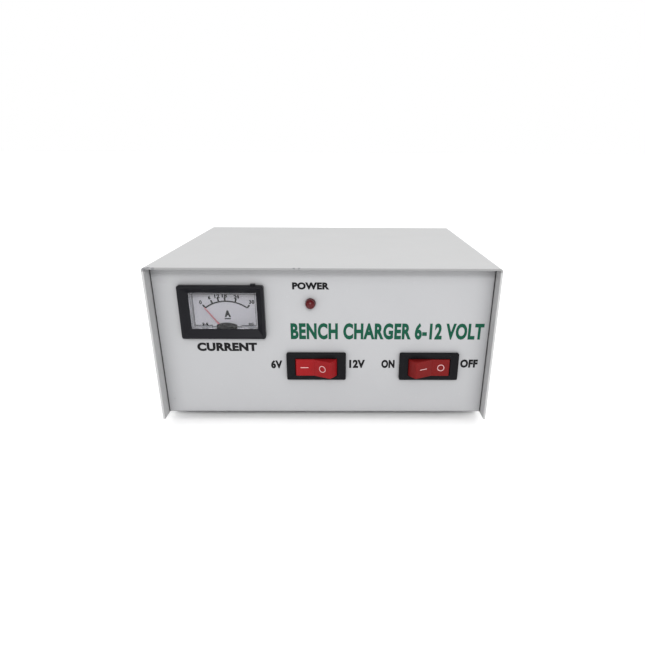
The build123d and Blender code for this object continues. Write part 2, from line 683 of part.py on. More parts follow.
# The coil is a closed rectangle of wire about the core, square to the needle.
COIL_OUT_CORNER = 0.9
COIL_IN_CORNER = 0.5
COIL_CLEAR = 0.3
with BuildPart() as moving_coil:
    coil_frame = Plane(
        origin=(STAFF[0], FRONT_Y + COIL_FRONT + COIL_D / 2, FOOT_H + STAFF[1]),
        x_dir=(cos(radians(-NEEDLE_LOW)), 0, sin(radians(-NEEDLE_LOW))),
        z_dir=(-sin(radians(-NEEDLE_LOW)), 0, cos(radians(-NEEDLE_LOW))),
    )
    with BuildSketch(coil_frame):
        RectangleRounded(2 * COIL_R, COIL_D, COIL_OUT_CORNER)
        RectangleRounded(
            2 * (COIL_R - COIL_T), COIL_D - 2 * COIL_T, COIL_IN_CORNER, mode=Mode.SUBTRACT
        )
    extrude(amount=COIL_TALL / 2, both=True)
    with BuildSketch(front(COIL_FRONT - COIL_CLEAR)):
        with Locations(STAFF):
            Circle(STAFF_R)
    extrude(amount=-(COIL_D + 2 * COIL_CLEAR), mode=Mode.SUBTRACT)
moving_coil.part.label = "moving_coil"
export_step(moving_coil.part, "parts/moving_coil.step")

# A flat spiral hairspring behind the coil, drawn as half circles that grow by one pitch a turn.
HAIR_BACK = 16.8
HAIR_STEP = 0.45
HAIR_IN_R = 0.8
HAIR_WIRE = 0.12
HAIR_HALF_TURNS = 7
with BuildPart() as hairspring:
    hair_plane = Plane(
        origin=(STAFF[0], FRONT_Y + HAIR_BACK, FOOT_H + STAFF[1]), x_dir=(1, 0, 0), z_dir=(0, -1, 0)
    )
    with BuildLine(hair_plane) as hair:
        for half in range(HAIR_HALF_TURNS):
            flip = half % 2
            hair_r = HAIR_IN_R + half * HAIR_STEP / 2
            CenterArc((flip * HAIR_STEP / 2, 0), hair_r, 180 * flip, 180)
    with BuildSketch(Plane(origin=hair.line @ 0, z_dir=hair.line % 0)):
        Rectangle(HAIR_WIRE, HAIR_WIRE)
    sweep(path=hair.line)
hairspring.part.label = "hairspring"
export_step(hairspring.part, "parts/hairspring.step")

stud_spots = [(METER_X + side * STUD_X, STUD_Z) for side in (-1, 1)]
with BuildPart() as meter_studs:
    with BuildSketch(front(body_floor)):
        with Locations(stud_spots):
            Circle(STUD_HEAD_R)
    extrude(amount=STUD_HEAD_H)
    with BuildSketch(front(body_floor)):
        with Locations(stud_spots):
            Circle(BIG_BOLT_R)
    extrude(amount=-(BODY_WALL + STUD_OUT))
meter_studs.part.label = "meter_studs"
export_step(meter_studs.part, "parts/meter_studs.step")

with BuildPart() as meter_nuts:
    with BuildSketch(front(SHEET + BODY_D)):
        with Locations(stud_spots):
            RegularPolygon(BIG_NUT_FLATS / 2 * HEX, 6)
            Circle(BIG_BOLT_HOLE_R, mode=Mode.SUBTRACT)
    extrude(amount=-BIG_NUT_H)
meter_nuts.part.label = "meter_nuts"
export_step(meter_nuts.part, "parts/meter_nuts.step")

# ---------------------------------------------------------------- power lamp

LED_SHOULDER = 1.6
LED_BACK = 5.0
LED_FLANGE_R = 2.9
LED_FLANGE_T = 1.0
LED_LEG = 0.5
LED_LEG_X = 1.27
LED_LEG_L = 9.0
LED_TOP_ROUND = 2.45
CLIP_R = 4.1
with BuildPart() as power_led:
    with BuildSketch(front(LED_BACK)):
        with Locations(LED):
            Circle(LED_FLANGE_R)
    extrude(amount=LED_FLANGE_T)
    with BuildSketch(front(LED_BACK - LED_FLANGE_T)):
        with Locations(LED):
            Circle(LED_R)
    extrude(amount=LED_BACK - LED_FLANGE_T + LED_SHOULDER + LED_R)
    fillet(power_led.faces().sort_by(Axis.Y)[0].edges(), radius=LED_TOP_ROUND)
    with BuildSketch(front(LED_BACK)):
        with Locations([(LED[0] + side * LED_LEG_X, LED[1]) for side in (-1, 1)]):
            Rectangle(LED_LEG, LED_LEG)
    extrude(amount=-LED_LEG_L)
power_led.part.label = "power_led"
export_step(power_led.part, "parts/power_led.step")

with BuildPart() as led_clip:
    with BuildSketch(front(SHEET)):
        with Locations(LED):
            Circle(CLIP_R)
            Circle(LED_R + RUNNING, mode=Mode.SUBTRACT)
    extrude(amount=-(LED_BACK - LED_FLANGE_T - SHEET))
led_clip.part.label = "led_clip"
export_step(led_clip.part, "parts/led_clip.step")

# ---------------------------------------------------------------- transformer

LAMINATION = TRANSFORMER_W / 6  # width of an outer leg and of a yoke
CORE_H = 5 * LAMINATION
STACK = 38.0
CORE_LIFT = 1.0
WINDOW_TALL = 3 * LAMINATION
CORE_GAP = 0.2  # core to bobbin, all round
WINDING_CORNER = 5.0
WINDING_ROUND = 1.0
BOBBIN_CORNER = 1.5
TUBE_CORNER = 1.0
BOBBIN_W = 4 * LAMINATION - 3 * CORE_GAP
BOBBIN_D = 60.0
BOBBIN_H = WINDOW_TALL - 2 * CORE_GAP
BOBBIN_T = 1.2
TUBE_W = 2 * LAMINATION + 2 * CORE_GAP
TUBE_D = STACK + 2 * CORE_GAP
CORE_MID = CORE_LIFT + CORE_H / 2  # above the base's top

with BuildPart() as transformer_core:
    core_plane = front(TRANSFORMER[1] - STACK / 2)
    core_spot = (TRANSFORMER[0], SHEET + CORE_MID)
    with BuildSketch(core_plane):
        with Locations(core_spot):
            Rectangle(TRANSFORMER_W, CORE_H)
            with GridLocations(3 * LAMINATION, 1, 2, 1):
                Rectangle(LAMINATION, WINDOW_TALL, mode=Mode.SUBTRACT)
            with GridLocations(5 * LAMINATION, 4 * LAMINATION, 2, 2):
                Circle(BIG_BOLT_HOLE_R, mode=Mode.SUBTRACT)
    extrude(amount=-STACK)
transformer_core.part.label = "transformer_core"
export_step(transformer_core.part, "parts/transformer_core.step")

with BuildPart() as bobbin:
    with BuildSketch(level(CORE_MID - BOBBIN_H / 2)):
        with Locations(TRANSFORMER):
            RectangleRounded(TUBE_W + 2 * BOBBIN_T, TUBE_D + 2 * BOBBIN_T, TUBE_CORNER)
    extrude(amount=BOBBIN_H)
    for height in (-BOBBIN_H / 2, -BOBBIN_T / 2, BOBBIN_H / 2 - BOBBIN_T):
        with BuildSketch(level(CORE_MID + height)):
            with Locations(TRANSFORMER):
                RectangleRounded(BOBBIN_W, BOBBIN_D, BOBBIN_CORNER)
        extrude(amount=BOBBIN_T)
    with BuildSketch(level(CORE_MID - BOBBIN_H / 2)):
        with Locations(TRANSFORMER):
            Rectangle(TUBE_W, TUBE_D)
    extrude(amount=BOBBIN_H, mode=Mode.SUBTRACT)
bobbin.part.label = "transformer_bobbin"
export_step(bobbin.part, "parts/transformer_bobbin.step")

WINDING_H = BOBBIN_H / 2 - 1.5 * BOBBIN_T - 2 * SLIP
WINDING_W = BOBBIN_W - 1.6
WINDING_D = BOBBIN_D - 2.0
for winding, start in (("secondary", -BOBBIN_H / 2 + BOBBIN_T), ("primary", BOBBIN_T / 2)):
    with BuildPart() as turns:
        with BuildSketch(level(CORE_MID + start + SLIP)):
            with Locations(TRANSFORMER):
                RectangleRounded(WINDING_W, WINDING_D, WINDING_CORNER)
                inner_w = TUBE_W + 2 * BOBBIN_T + 2 * SLIP
                inner_d = TUBE_D + 2 * BOBBIN_T + 2 * SLIP
                RectangleRounded(inner_w, inner_d, TUBE_CORNER + SLIP, mode=Mode.SUBTRACT)
        extrude(amount=WINDING_H)
        fillet(turns.faces().sort_by(Axis.Z)[-1].outer_wire().edges(), radius=WINDING_ROUND)
    turns.part.label = f"{winding}_winding"
    export_step(turns.part, f"parts/{winding}_winding.step")

# A bent strap goes over the core and down both sides to a foot with two holes.
STRAP_D = STACK - 2.0
STRAP_GAP = 0.1  # core to strap
with BuildPart() as frame:
    with BuildSketch(front(TRANSFORMER[1] - STRAP_D / 2)):
        outer_w = TRANSFORMER_W + 2 * FRAME_SHEET + 2 * STRAP_GAP
        outer_h = CORE_LIFT + CORE_H + FRAME_SHEET + STRAP_GAP
        with Locations((TRANSFORMER[0], SHEET + outer_h / 2)):
            Rectangle(outer_w, outer_h)
        with Locations((TRANSFORMER[0], SHEET + FRAME_SHEET / 2)):
            Rectangle(outer_w + 2 * FRAME_FOOT, FRAME_SHEET)
        with Locations((TRANSFORMER[0], SHEET + (outer_h - FRAME_SHEET) / 2)):
            Rectangle(outer_w - 2 * FRAME_SHEET, outer_h - FRAME_SHEET, mode=Mode.SUBTRACT)
    extrude(amount=-STRAP_D)
    with BuildSketch(level()):
        with Locations(TRANSFORMER):
            with Locations(mirrored(*TRANSFORMER_BOLTS)):
                Circle(BIG_BOLT_HOLE_R)
    extrude(amount=FRAME_SHEET, mode=Mode.SUBTRACT)
frame.part.label = "transformer_frame"
export_step(frame.part, "parts/transformer_frame.step")

# Two pads keep the core clear of the base.
PAD_PITCH = 50.0
PAD_W = 12.0
PAD_D = STACK - 6.0
with BuildPart() as pads:
    with BuildSketch(level()):
        with Locations(TRANSFORMER):
            with GridLocations(PAD_PITCH, 1, 2, 1):
                Rectangle(PAD_W, PAD_D)
    extrude(amount=CORE_LIFT)
pads.part.label = "transformer_pads"
export_step(pads.part, "parts/transformer_pads.step")

# ---------------------------------------------------------------- rectifier and heat sink

SINK_W = 46.0
SINK_D = 50.0
SINK_T = 2.0
SINK_H = 40.0
BLOCK = 28.6
BLOCK_H = 10.0
BLOCK_CORNER = 1.5
BLOCK_CHAMFER = 0.8
TAB_W = 6.3
TAB_PITCH = 18.0
TAB_H = 13.0

with BuildPart() as heat_sink:
    with BuildSketch(level()):
        with Locations(RECTIFIER):
            Rectangle(SINK_W, SINK_D)
            Circle(BIG_BOLT_HOLE_R, mode=Mode.SUBTRACT)
    extrude(amount=SINK_T)
    with BuildSketch(level(SINK_T)):
        with Locations((RECTIFIER[0] - SINK_W / 2 + SINK_T / 2, RECTIFIER[1])):
            Rectangle(SINK_T, SINK_D)
    extrude(amount=SINK_H)
heat_sink.part.label = "heat_sink"
export_step(heat_sink.part, "parts/heat_sink.step")

with BuildPart() as rectifier:
    with BuildSketch(level(SINK_T)):
        with Locations(RECTIFIER):
            RectangleRounded(BLOCK, BLOCK, BLOCK_CORNER)
            Circle(BIG_BOLT_HOLE_R + 2 * SLIP, mode=Mode.SUBTRACT)
    extrude(amount=BLOCK_H)
    chamfer(rectifier.faces().sort_by(Axis.Z)[-1].outer_wire().edges(), length=BLOCK_CHAMFER)
rectifier.part.label = "rectifier"
export_step(rectifier.part, "parts/rectifier.step")

with BuildPart() as rectifier_tabs:
    with BuildSketch(level(SINK_T + BLOCK_H)):
        with Locations(RECTIFIER):
            with GridLocations(TAB_PITCH, TAB_PITCH, 2, 2):
                Rectangle(BLADE_T, TAB_W)
    extrude(amount=TAB_H)
rectifier_tabs.part.label = "rectifier_tabs"
export_step(rectifier_tabs.part, "parts/rectifier_tabs.step")

RECTIFIER_SCREW_L = SHEET + SINK_T + BLOCK_H + BIG_NUT_H + 2 * SCREW_END
with BuildPart() as rectifier_screw:
    with BuildSketch(level(-SHEET)):
        with Locations(RECTIFIER):
            Circle(BIG_HEAD_R)
    extrude(amount=-BIG_HEAD_H)
    with BuildSketch(level(-SHEET)):
        with Locations(RECTIFIER):
            Circle(BIG_BOLT_R)
    extrude(amount=RECTIFIER_SCREW_L)
rectifier_screw.part.label = "rectifier_screw"
export_step(rectifier_screw.part, "parts/rectifier_screw.step")

# ---------------------------------------------------------------- M4 screws and nuts in the base

# Four hold the transformer down and one is the earth point. The rectifier's nut is the sixth.
transformer_bolts = [
    (TRANSFORMER[0] + x, TRANSFORMER[1] + y) for x, y in mirrored(*TRANSFORMER_BOLTS)
]
with BuildPart() as base_screws:
    with BuildSketch(level(-SHEET)):
        with Locations(transformer_bolts + [EARTH]):
            Circle(BIG_HEAD_R)
    extrude(amount=-BIG_HEAD_H)
    with BuildSketch(level(-SHEET)):
        with Locations(transformer_bolts + [EARTH]):
            Circle(BIG_BOLT_R)
    extrude(amount=BIG_BOLT_LENGTH)
base_screws.part.label = "base_screws"
export_step(base_screws.part, "parts/base_screws.step")

nut_seats = [(spot, FRAME_SHEET) for spot in transformer_bolts]
nut_seats += [(EARTH, 0), (RECTIFIER, SINK_T + BLOCK_H)]
with BuildPart() as base_nuts:
    for spot, height in nut_seats:
        with BuildSketch(level(height)):
            with Locations(spot):
                RegularPolygon(BIG_NUT_FLATS / 2 * HEX, 6)
                Circle(BIG_BOLT_HOLE_R, mode=Mode.SUBTRACT)
        extrude(amount=BIG_NUT_H)
base_nuts.part.label = "base_nuts"
export_step(base_nuts.part, "parts/base_nuts.step")

# ---------------------------------------------------------------- fuse holder

HOLDER_L = 34.0
HOLDER_WALL = 1.4
FUSE_TUBE_R = 3.1
FUSE_FRONT = 3.0  # the closed end's thickness
TAIL_L = 7.0
HOLDER_FLANGE_R = 8.9
HOLDER_NUT_FLATS = 17.4
HOLDER_NUT_H = 2.5

with BuildPart() as fuse_holder:
    with BuildSketch(front(CHASSIS_D)):
        with Locations(FUSE):
            Circle(HOLDER_FLANGE_R)
    extrude(amount=-FUSE_FLANGE)
    with BuildSketch(front(CHASSIS_D)):
        with Locations(FUSE):
            Circle(FUSE_R)
    extrude(amount=HOLDER_L)
    with BuildSketch(front(CHASSIS_D + FUSE_FLANGE)):
        with Locations(FUSE):
            Circle(FUSE_R - HOLDER_WALL)
    extrude(amount=HOLDER_L + FUSE_FLANGE - FUSE_FRONT, mode=Mode.SUBTRACT)
fuse_holder.part.label = "fuse_holder"
export_step(fuse_holder.part, "parts/fuse_holder.step")

with BuildPart() as fuse_holder_nut:
    with BuildSketch(front(CHASSIS_D - SHEET)):
        with Locations(FUSE):
            RegularPolygon(HOLDER_NUT_FLATS / 2 * HEX, 6)
            Circle(FUSE_R + SLIP, mode=Mode.SUBTRACT)
    extrude(amount=HOLDER_NUT_H)
fuse_holder_nut.part.label = "fuse_holder_nut"
export_step(fuse_holder_nut.part, "parts/fuse_holder_nut.step")

with BuildPart() as fuse_holder_tail:
    with BuildSketch(front(CHASSIS_D - HOLDER_L)):
        with Locations(FUSE):
            Rectangle(BLADE_W, BLADE_T)
    extrude(amount=TAIL_L)
fuse_holder_tail.part.label = "fuse_holder_tail"
export_step(fuse_holder_tail.part, "parts/fuse_holder_tail.step")

# The cap has a stem that grips the fuse's rear end, ribs round its side and a driver slot.
STEM_L = 4.0
STEM_GAP = 0.3
CAP_R = 6.9
CAP_ROUND = 1.2
CAP_SKIRT = 1.5  # plain band before the ribs
GROOVES = 18
GROOVE_W = 1.1
GROOVE_DEEP = 1.0
GROOVE_R = 7.1
DRIVER_SLOT = (9.0, 1.4, 1.4)  # long, wide, deep
with BuildPart() as fuse_cap:
    with BuildSketch(front(CHASSIS_D + FUSE_FLANGE)):
        with Locations(FUSE):
            Circle(CAP_R)
    extrude(amount=-FUSE_CAP)
    fillet(fuse_cap.faces().sort_by(Axis.Y)[-1].edges(), radius=CAP_ROUND)
    with BuildSketch(front(CHASSIS_D + FUSE_FLANGE + CAP_SKIRT)):
        with Locations(FUSE):
            with PolarLocations(GROOVE_R, GROOVES):
                Rectangle(GROOVE_DEEP, GROOVE_W)
    extrude(amount=-FUSE_CAP, mode=Mode.SUBTRACT)
    with BuildSketch(front(CHASSIS_D + FUSE_FLANGE + FUSE_CAP)):
        with Locations(FUSE):
            Rectangle(DRIVER_SLOT[0], DRIVER_SLOT[1])
    extrude(amount=DRIVER_SLOT[2], mode=Mode.SUBTRACT)
    with BuildSketch(front(CHASSIS_D + FUSE_FLANGE)):
        with Locations(FUSE):
            Circle(FUSE_R - HOLDER_WALL - STEM_GAP)
    extrude(amount=STEM_L)
fuse_cap.part.label = "fuse_cap"
export_step(fuse_cap.part, "parts/fuse_cap.step")

fuse_rear = CHASSIS_D + FUSE_FLANGE - STEM_L
FUSE_END = 6.0
GLASS_L = 13.0
GLASS_R = 2.8
GLASS_BORE_R = 2.2
with BuildPart() as fuse_glass:
    with BuildSketch(front(fuse_rear - FUSE_END)):
        with Locations(FUSE):
            Circle(GLASS_R)
            Circle(GLASS_BORE_R, mode=Mode.SUBTRACT)
    extrude(amount=GLASS_L)
fuse_glass.part.label = "fuse_glass"
export_step(fuse_glass.part, "parts/fuse_glass.step")

with BuildPart() as fuse_ends:
    for back in (fuse_rear, fuse_rear - FUSE_END - GLASS_L):
        with BuildSketch(front(back)):
            with Locations(FUSE):
                Circle(FUSE_TUBE_R)
        extrude(amount=FUSE_END)
fuse_ends.part.label = "fuse_ends"
export_step(fuse_ends.part, "parts/fuse_ends.step")

# ---------------------------------------------------------------- cable grommets

GROMMET_FLANGE = 2.6
GROMMET_LIP_R = 8.7
GROMMET_ROUND = 1.2
for lead, hole in (("mains", MAINS_HOLE), ("output", OUTPUT_HOLE)):
    with BuildPart() as grommet:
        with BuildSketch(front(CHASSIS_D)):
            with Locations(hole):
                Circle(GROMMET_LIP_R)
        extrude(amount=-GROMMET_FLANGE)
        fillet(grommet.faces().sort_by(Axis.Y)[-1].edges(), radius=GROMMET_ROUND)
        with BuildSketch(front(CHASSIS_D)):
            with Locations(hole):
                Circle(GROMMET_R)
        extrude(amount=SHEET)
        with BuildSketch(front(CHASSIS_D - SHEET)):
            with Locations(hole):
                Circle(GROMMET_LIP_R)
        extrude(amount=GROMMET_FLANGE)
        with BuildSketch(front(CHASSIS_D + 2 * GROMMET_FLANGE)):
            with Locations(hole):
                Circle(GROMMET_BORE_R)
        extrude(amount=5 * GROMMET_FLANGE, mode=Mode.SUBTRACT)
    grommet.part.label = f"{lead}_grommet"
    export_step(grommet.part, f"parts/{lead}_grommet.step")

# ---------------------------------------------------------------- wires inside the case

MAINS_WIRE_R = 1.1
OUTPUT_WIRE_R = 1.4
LAMP_WIRE_R = 0.6
blade_end = PIVOT_BACK + HOUSING_BACK + BLADE_L
coil_front = TRANSFORMER[1] - WINDING_D / 2
tab_top = SHEET + SINK_T + BLOCK_H + TAB_H
tab_left = RECTIFIER[0] - TAB_PITCH / 2
tab_right = RECTIFIER[0] + TAB_PITCH / 2
tab_near = RECTIFIER[1] - TAB_PITCH / 2
tab_far = RECTIFIER[1] + TAB_PITCH / 2
tail_end = CHASSIS_D - HOLDER_L - TAIL_L
stud_end = SHEET + BODY_D + STUD_OUT
lead_end = LED_BACK + LED_LEG_L
leg_left = LED[0] - LED_LEG_X
leg_right = LED[0] + LED_LEG_X
volts = SWITCHES["voltage"]
power = SWITCHES["power"]

# Each route lists (x, back from the panel, up from the case's edge), from one terminal to the other.
WIRES = {
    "mains_wires": (
        MAINS_WIRE_R,
        [
            [
                (FUSE[0], tail_end, FUSE[1]),
                (FUSE[0], 58.0, 41.0),
                (-40.0, 41.0, 44.0),
                (0.0, 35.0, 45.0),
                (40.0, 36.0, 37.0),
                (power - CONTACT_X, 33.0, SWITCH_Z),
                (power - CONTACT_X, blade_end, SWITCH_Z),
            ],
            [
                (power, blade_end, SWITCH_Z),
                (power, 31.0, SWITCH_Z),
                (48.0, 35.0, 42.0),
                (48.0, coil_front, 42.0),
            ],
        ],
    ),
    "secondary_wires": (
        MAINS_WIRE_R,
        [
            [
                (12.0, coil_front, 24.0),
                (12.0, 35.0, 24.0),
                (volts - CONTACT_X, 33.0, SWITCH_Z),
                (volts - CONTACT_X, blade_end, SWITCH_Z),
            ],
            [
                (20.0, coil_front, 28.0),
                (20.0, 34.0, 28.0),
                (volts + CONTACT_X, 31.0, SWITCH_Z),
                (volts + CONTACT_X, blade_end, SWITCH_Z),
            ],
            [
                (volts, blade_end, SWITCH_Z),
                (volts, 30.0, SWITCH_Z),
                (-12.0, 34.0, 38.0),
                (-36.0, 46.0, 40.0),
                (tab_right, tab_near, 35.0),
                (tab_right, tab_near, tab_top),
            ],
            [
                (12.0, coil_front, 19.0),
                (12.0, 36.0, 19.0),
                (-15.0, 40.0, 28.0),
                (-52.0, 62.0, 37.0),
                (tab_left, tab_far, 34.0),
                (tab_left, tab_far, tab_top),
            ],
        ],
    ),
    "output_wire": (
        OUTPUT_WIRE_R,
        [
            [
                (tab_right, tab_far, tab_top),
                (tab_right, tab_far, 38.0),
                (-40.0, 52.0, 56.0),
                (METER_X + STUD_X, 41.0, STUD_Z),
                (METER_X + STUD_X, stud_end, STUD_Z),
            ],
        ],
    ),
    "lamp_wires": (
        LAMP_WIRE_R,
        [
            [
                (leg_left, lead_end, LED[1]),
                (leg_left, 22.0, LED[1]),
                (-45.0, 45.0, 51.0),
                (tab_left, tab_near, 36.0),
                (tab_left, tab_near, tab_top),
            ],
            [
                (leg_right, lead_end, LED[1]),
                (leg_right, 22.0, LED[1]),
                (10.0, 30.0, 50.0),
                (25.0, 31.0, 30.0),
                (25.0, coil_front, 30.0),
            ],
        ],
    ),
}


BEND_SHARE = 0.45  # how much of a run one bend may use


def route_path(route):
    """Straight runs joined by arcs, each as large as its two runs allow."""
    points = [Vector(x, FRONT_Y + back, FOOT_H + up) for x, back, up in route]
    runs = [after - before for before, after in zip(points, points[1:])]
    radii = []
    for before, after in zip(runs, runs[1:]):
        half_turn = radians(before.get_angle(after)) / 2
        radii.append(BEND_SHARE * min(before.length, after.length) / tan(half_turn))
    return FilletPolyline(*points, radius=radii)


for name, (wire_r, routes) in WIRES.items():
    with BuildPart() as wires:
        for route in routes:
            with BuildLine() as way:
                route_path(route)
            with BuildSketch(Plane(origin=way.line @ 0, z_dir=way.line % 0)):
                Circle(wire_r)
            sweep(path=way.line)
    wires.part.label = name
    export_step(wires.part, f"parts/{name}.step")
    lengths = wires.part.volume / (pi * wire_r**2)
    print(name, "solids", len(wires.part.solids()), "length", round(lengths, 1))
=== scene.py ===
# %% [markdown]
# # A bench battery charger
# The charger is a bent-sheet box with an ammeter, a lamp and two rocker switches on its front.
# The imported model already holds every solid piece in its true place, in metres, with +Z up and
# the front panel facing -Y. This script loads it, gives each piece a finish, and adds what a
# solid model doesn't hold: the printing, the dial's scale, the lamp's lens and the windings.

# %% Load the solid model
import json
import math

import bmesh
import bpy
from mathutils import Matrix, Vector


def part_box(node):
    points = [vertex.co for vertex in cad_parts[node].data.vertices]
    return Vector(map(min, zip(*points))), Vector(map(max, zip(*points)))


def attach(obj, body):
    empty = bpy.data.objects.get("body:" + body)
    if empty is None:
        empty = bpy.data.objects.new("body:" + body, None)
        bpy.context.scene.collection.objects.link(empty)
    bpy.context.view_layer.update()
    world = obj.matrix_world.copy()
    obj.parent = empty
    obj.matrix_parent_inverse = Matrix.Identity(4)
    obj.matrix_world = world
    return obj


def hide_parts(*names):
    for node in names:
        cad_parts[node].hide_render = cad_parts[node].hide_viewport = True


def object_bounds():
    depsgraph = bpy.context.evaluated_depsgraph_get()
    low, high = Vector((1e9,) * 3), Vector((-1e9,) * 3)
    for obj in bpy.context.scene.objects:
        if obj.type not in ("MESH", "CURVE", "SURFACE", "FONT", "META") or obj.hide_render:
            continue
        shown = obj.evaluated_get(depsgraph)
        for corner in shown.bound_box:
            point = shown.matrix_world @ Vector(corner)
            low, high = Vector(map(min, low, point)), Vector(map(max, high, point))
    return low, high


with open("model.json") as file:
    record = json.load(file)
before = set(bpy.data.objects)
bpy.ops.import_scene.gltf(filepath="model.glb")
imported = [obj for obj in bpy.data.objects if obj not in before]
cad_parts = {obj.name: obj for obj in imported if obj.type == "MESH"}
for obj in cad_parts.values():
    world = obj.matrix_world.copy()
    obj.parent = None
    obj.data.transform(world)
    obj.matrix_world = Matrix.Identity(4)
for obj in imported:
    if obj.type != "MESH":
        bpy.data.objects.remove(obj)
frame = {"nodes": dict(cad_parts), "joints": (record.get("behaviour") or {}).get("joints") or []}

cad_low, cad_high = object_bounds()
MM = 0.001
scene = bpy.context.scene
print("solid model", [round(v / MM, 1) for v in cad_high - cad_low], "mm")

# %% [markdown]
# ## Reference planes
# Everything printed lies on a CAD face, so the faces' places are read from the model once.
# `on_panel` turns a place given across and up the front panel into a point in space.

# %% Reference planes
case_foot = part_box("cover")[0].z
panel_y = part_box("chassis")[0].y
dial_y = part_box("dial_plate")[0].y
joints = {joint["name"]: joint for joint in frame["joints"]}
staff = Vector(joints["needle_swing"]["pos_m"])


def on_panel(x_mm, z_mm, y=panel_y):
    """A point x_mm right of the middle and z_mm above the case's lower edge, on the plane at y."""
    return Vector((x_mm * MM, y, case_foot + z_mm * MM))


print("panel face at", round(panel_y / MM, 2), "mm, dial at", round(dial_y / MM, 2), "mm")

# %% [markdown]
# ## Camera
# The product is seen from close by and above, which is why the box narrows so fast towards its
# back and its foot. A wide 25.7 mm lens 220 mm in front of the panel gives that perspective. The
# small shift puts the charger a little left of the lens's axis, without turning the camera.

# %% Camera
CAMERA_PLACE = Vector((10.3, -220.3, 134.1)) * MM  # from the middle of the panel's foot
camera_data = bpy.data.cameras.new("camera")
camera_data.lens = 25.71
camera_data.sensor_width = 36.0
camera_data.shift_x = -0.0405
camera_data.shift_y = -0.002
camera_data.clip_start = 0.01
camera = bpy.data.objects.new("camera", camera_data)
camera.location = on_panel(0, 0) + CAMERA_PLACE
camera.rotation_euler = [math.radians(turn) for turn in (69.85, -0.34, -0.45)]
scene.collection.objects.link(camera)
scene.camera = camera
print("camera", [round(v / MM) for v in camera.location], "mm")

# %% [markdown]
# ## Floor and light
# A white floor, a pale sky and one very wide sun make the even light of a catalogue picture.
# The sun stands almost straight overhead, so the top of the case is its brightest face, and its
# width makes the shadow on the floor so soft that only the line under the case stays dark.
# A sun is used and not a lamp because it lights the far floor as much as the near floor. A low
# softbox in front and a little to the right throws the narrow shadow of the cover's lip on the
# panel and makes the right flat of each rocker the brighter one.

# %% Floor
FLOOR_HALF = 40.0
floor_bm = bmesh.new()
bmesh.ops.create_grid(floor_bm, x_segments=1, y_segments=1, size=FLOOR_HALF)
floor_mesh = bpy.data.meshes.new("floor")
floor_bm.to_mesh(floor_mesh)
floor_bm.free()
floor = bpy.data.objects.new("floor", floor_mesh)
floor.location.z = cad_low.z
scene.collection.objects.link(floor)

# %% Lights
SKY_STRENGTH = 1.0
world = bpy.data.worlds.new("studio")
world.use_nodes = True
world.node_tree.nodes["Background"].inputs["Color"].default_value = (1.0, 1.0, 1.0, 1.0)
world.node_tree.nodes["Background"].inputs["Strength"].default_value = SKY_STRENGTH
scene.world = world
scene.view_settings.view_transform = "Standard"

sun_data = bpy.data.lights.new("overhead", "SUN")
sun_data.energy = 0.85
sun_data.angle = math.radians(70)
sun = bpy.data.objects.new("overhead", sun_data)
sun.rotation_euler = (math.radians(-6), math.radians(6), 0)
scene.collection.objects.link(sun)

softbox_data = bpy.data.lights.new("softbox", "AREA")
softbox_data.shape = "RECTANGLE"
softbox_data.size = 0.35
softbox_data.size_y = 0.15
softbox_data.energy = 2.9
softbox = bpy.data.objects.new("softbox", softbox_data)
softbox.location = (0.06, -0.68, 0.50)
towards_panel = on_panel(0, 40) - softbox.location
softbox.rotation_euler = towards_panel.to_track_quat("-Z", "Y").to_euler()
scene.collection.objects.link(softbox)
print("sky", SKY_STRENGTH, "sun", sun_data.energy, "softbox", softbox_data.energy, "W")

# %% [markdown]
# ## Shared effects
# Six effects turn up in many finishes, so each is a node group that is built once.
# `fine_grain` is the small unevenness of a moulded or sprayed surface. `handling` is the broad,
# faint variation that fingers and dust leave. `worn_edge` rounds a sharp edge in the shading
# and marks where it would wear: it compares the true normal with one averaged over a small
# radius, which differ only near an edge. The corner group paints shade into seams, inner corners
# and the band under an overhang, where light doesn't reach; ambient occlusion finds them.
# `scuff` is one small ragged mark about a point. The lip group paints shade on the faces of the
# sheet that point to the front above a height.


# %% Helper for node groups
def new_group(name, numbers, results):
    """A node group with float inputs {name: value} and outputs {name: socket type}."""
    tree = bpy.data.node_groups.new(name, "ShaderNodeTree")
    for label, value in numbers.items():
        socket = tree.interface.new_socket(label, in_out="INPUT", socket_type="NodeSocketFloat")
        socket.default_value = value
    for label, kind in results.items():
        tree.interface.new_socket(label, in_out="OUTPUT", socket_type=kind)
    return tree, tree.nodes.new("NodeGroupInput"), tree.nodes.new("NodeGroupOutput")


def math_node(tree, operation, first, second=None, clamp=False):
    """A Math node whose two inputs are sockets or numbers, and its output."""
    node = tree.nodes.new("ShaderNodeMath")
    node.operation = operation
    node.use_clamp = clamp
    for socket, value in zip(node.inputs, (first, second)):
        if isinstance(value, (int, float)):
            socket.default_value = value
        elif value is not None:
            tree.links.new(value, socket)
    return node.outputs[0]


def noise_node(tree, scale, detail=2.0, roughness=0.5, vector=None):
    """A Noise Texture on Object coordinates, or on the given vector, and its value."""
    node = tree.nodes.new("ShaderNodeTexNoise")
    node.inputs["Detail"].default_value = detail
    node.inputs["Roughness"].default_value = roughness
    if isinstance(scale, (int, float)):
        node.inputs["Scale"].default_value = scale
    else:
        tree.links.new(scale, node.inputs["Scale"])
    if vector is None:
        vector = tree.nodes.new("ShaderNodeTexCoord").outputs["Object"]
    tree.links.new(vector, node.inputs["Vector"])
    return node.outputs["Fac"]


def ramp_node(tree, value, low, high, out_low=0.0, out_high=1.0):
    """A Map Range node that takes low..high to out_low..out_high, clamped, and its output."""
    node = tree.nodes.new("ShaderNodeMapRange")
    for label, number in (
        ("From Min", low), ("From Max", high), ("To Min", out_low), ("To Max", out_high)
    ):
        node.inputs[label].default_value = number
    tree.links.new(value, node.inputs["Value"])
    return node.outputs["Result"]


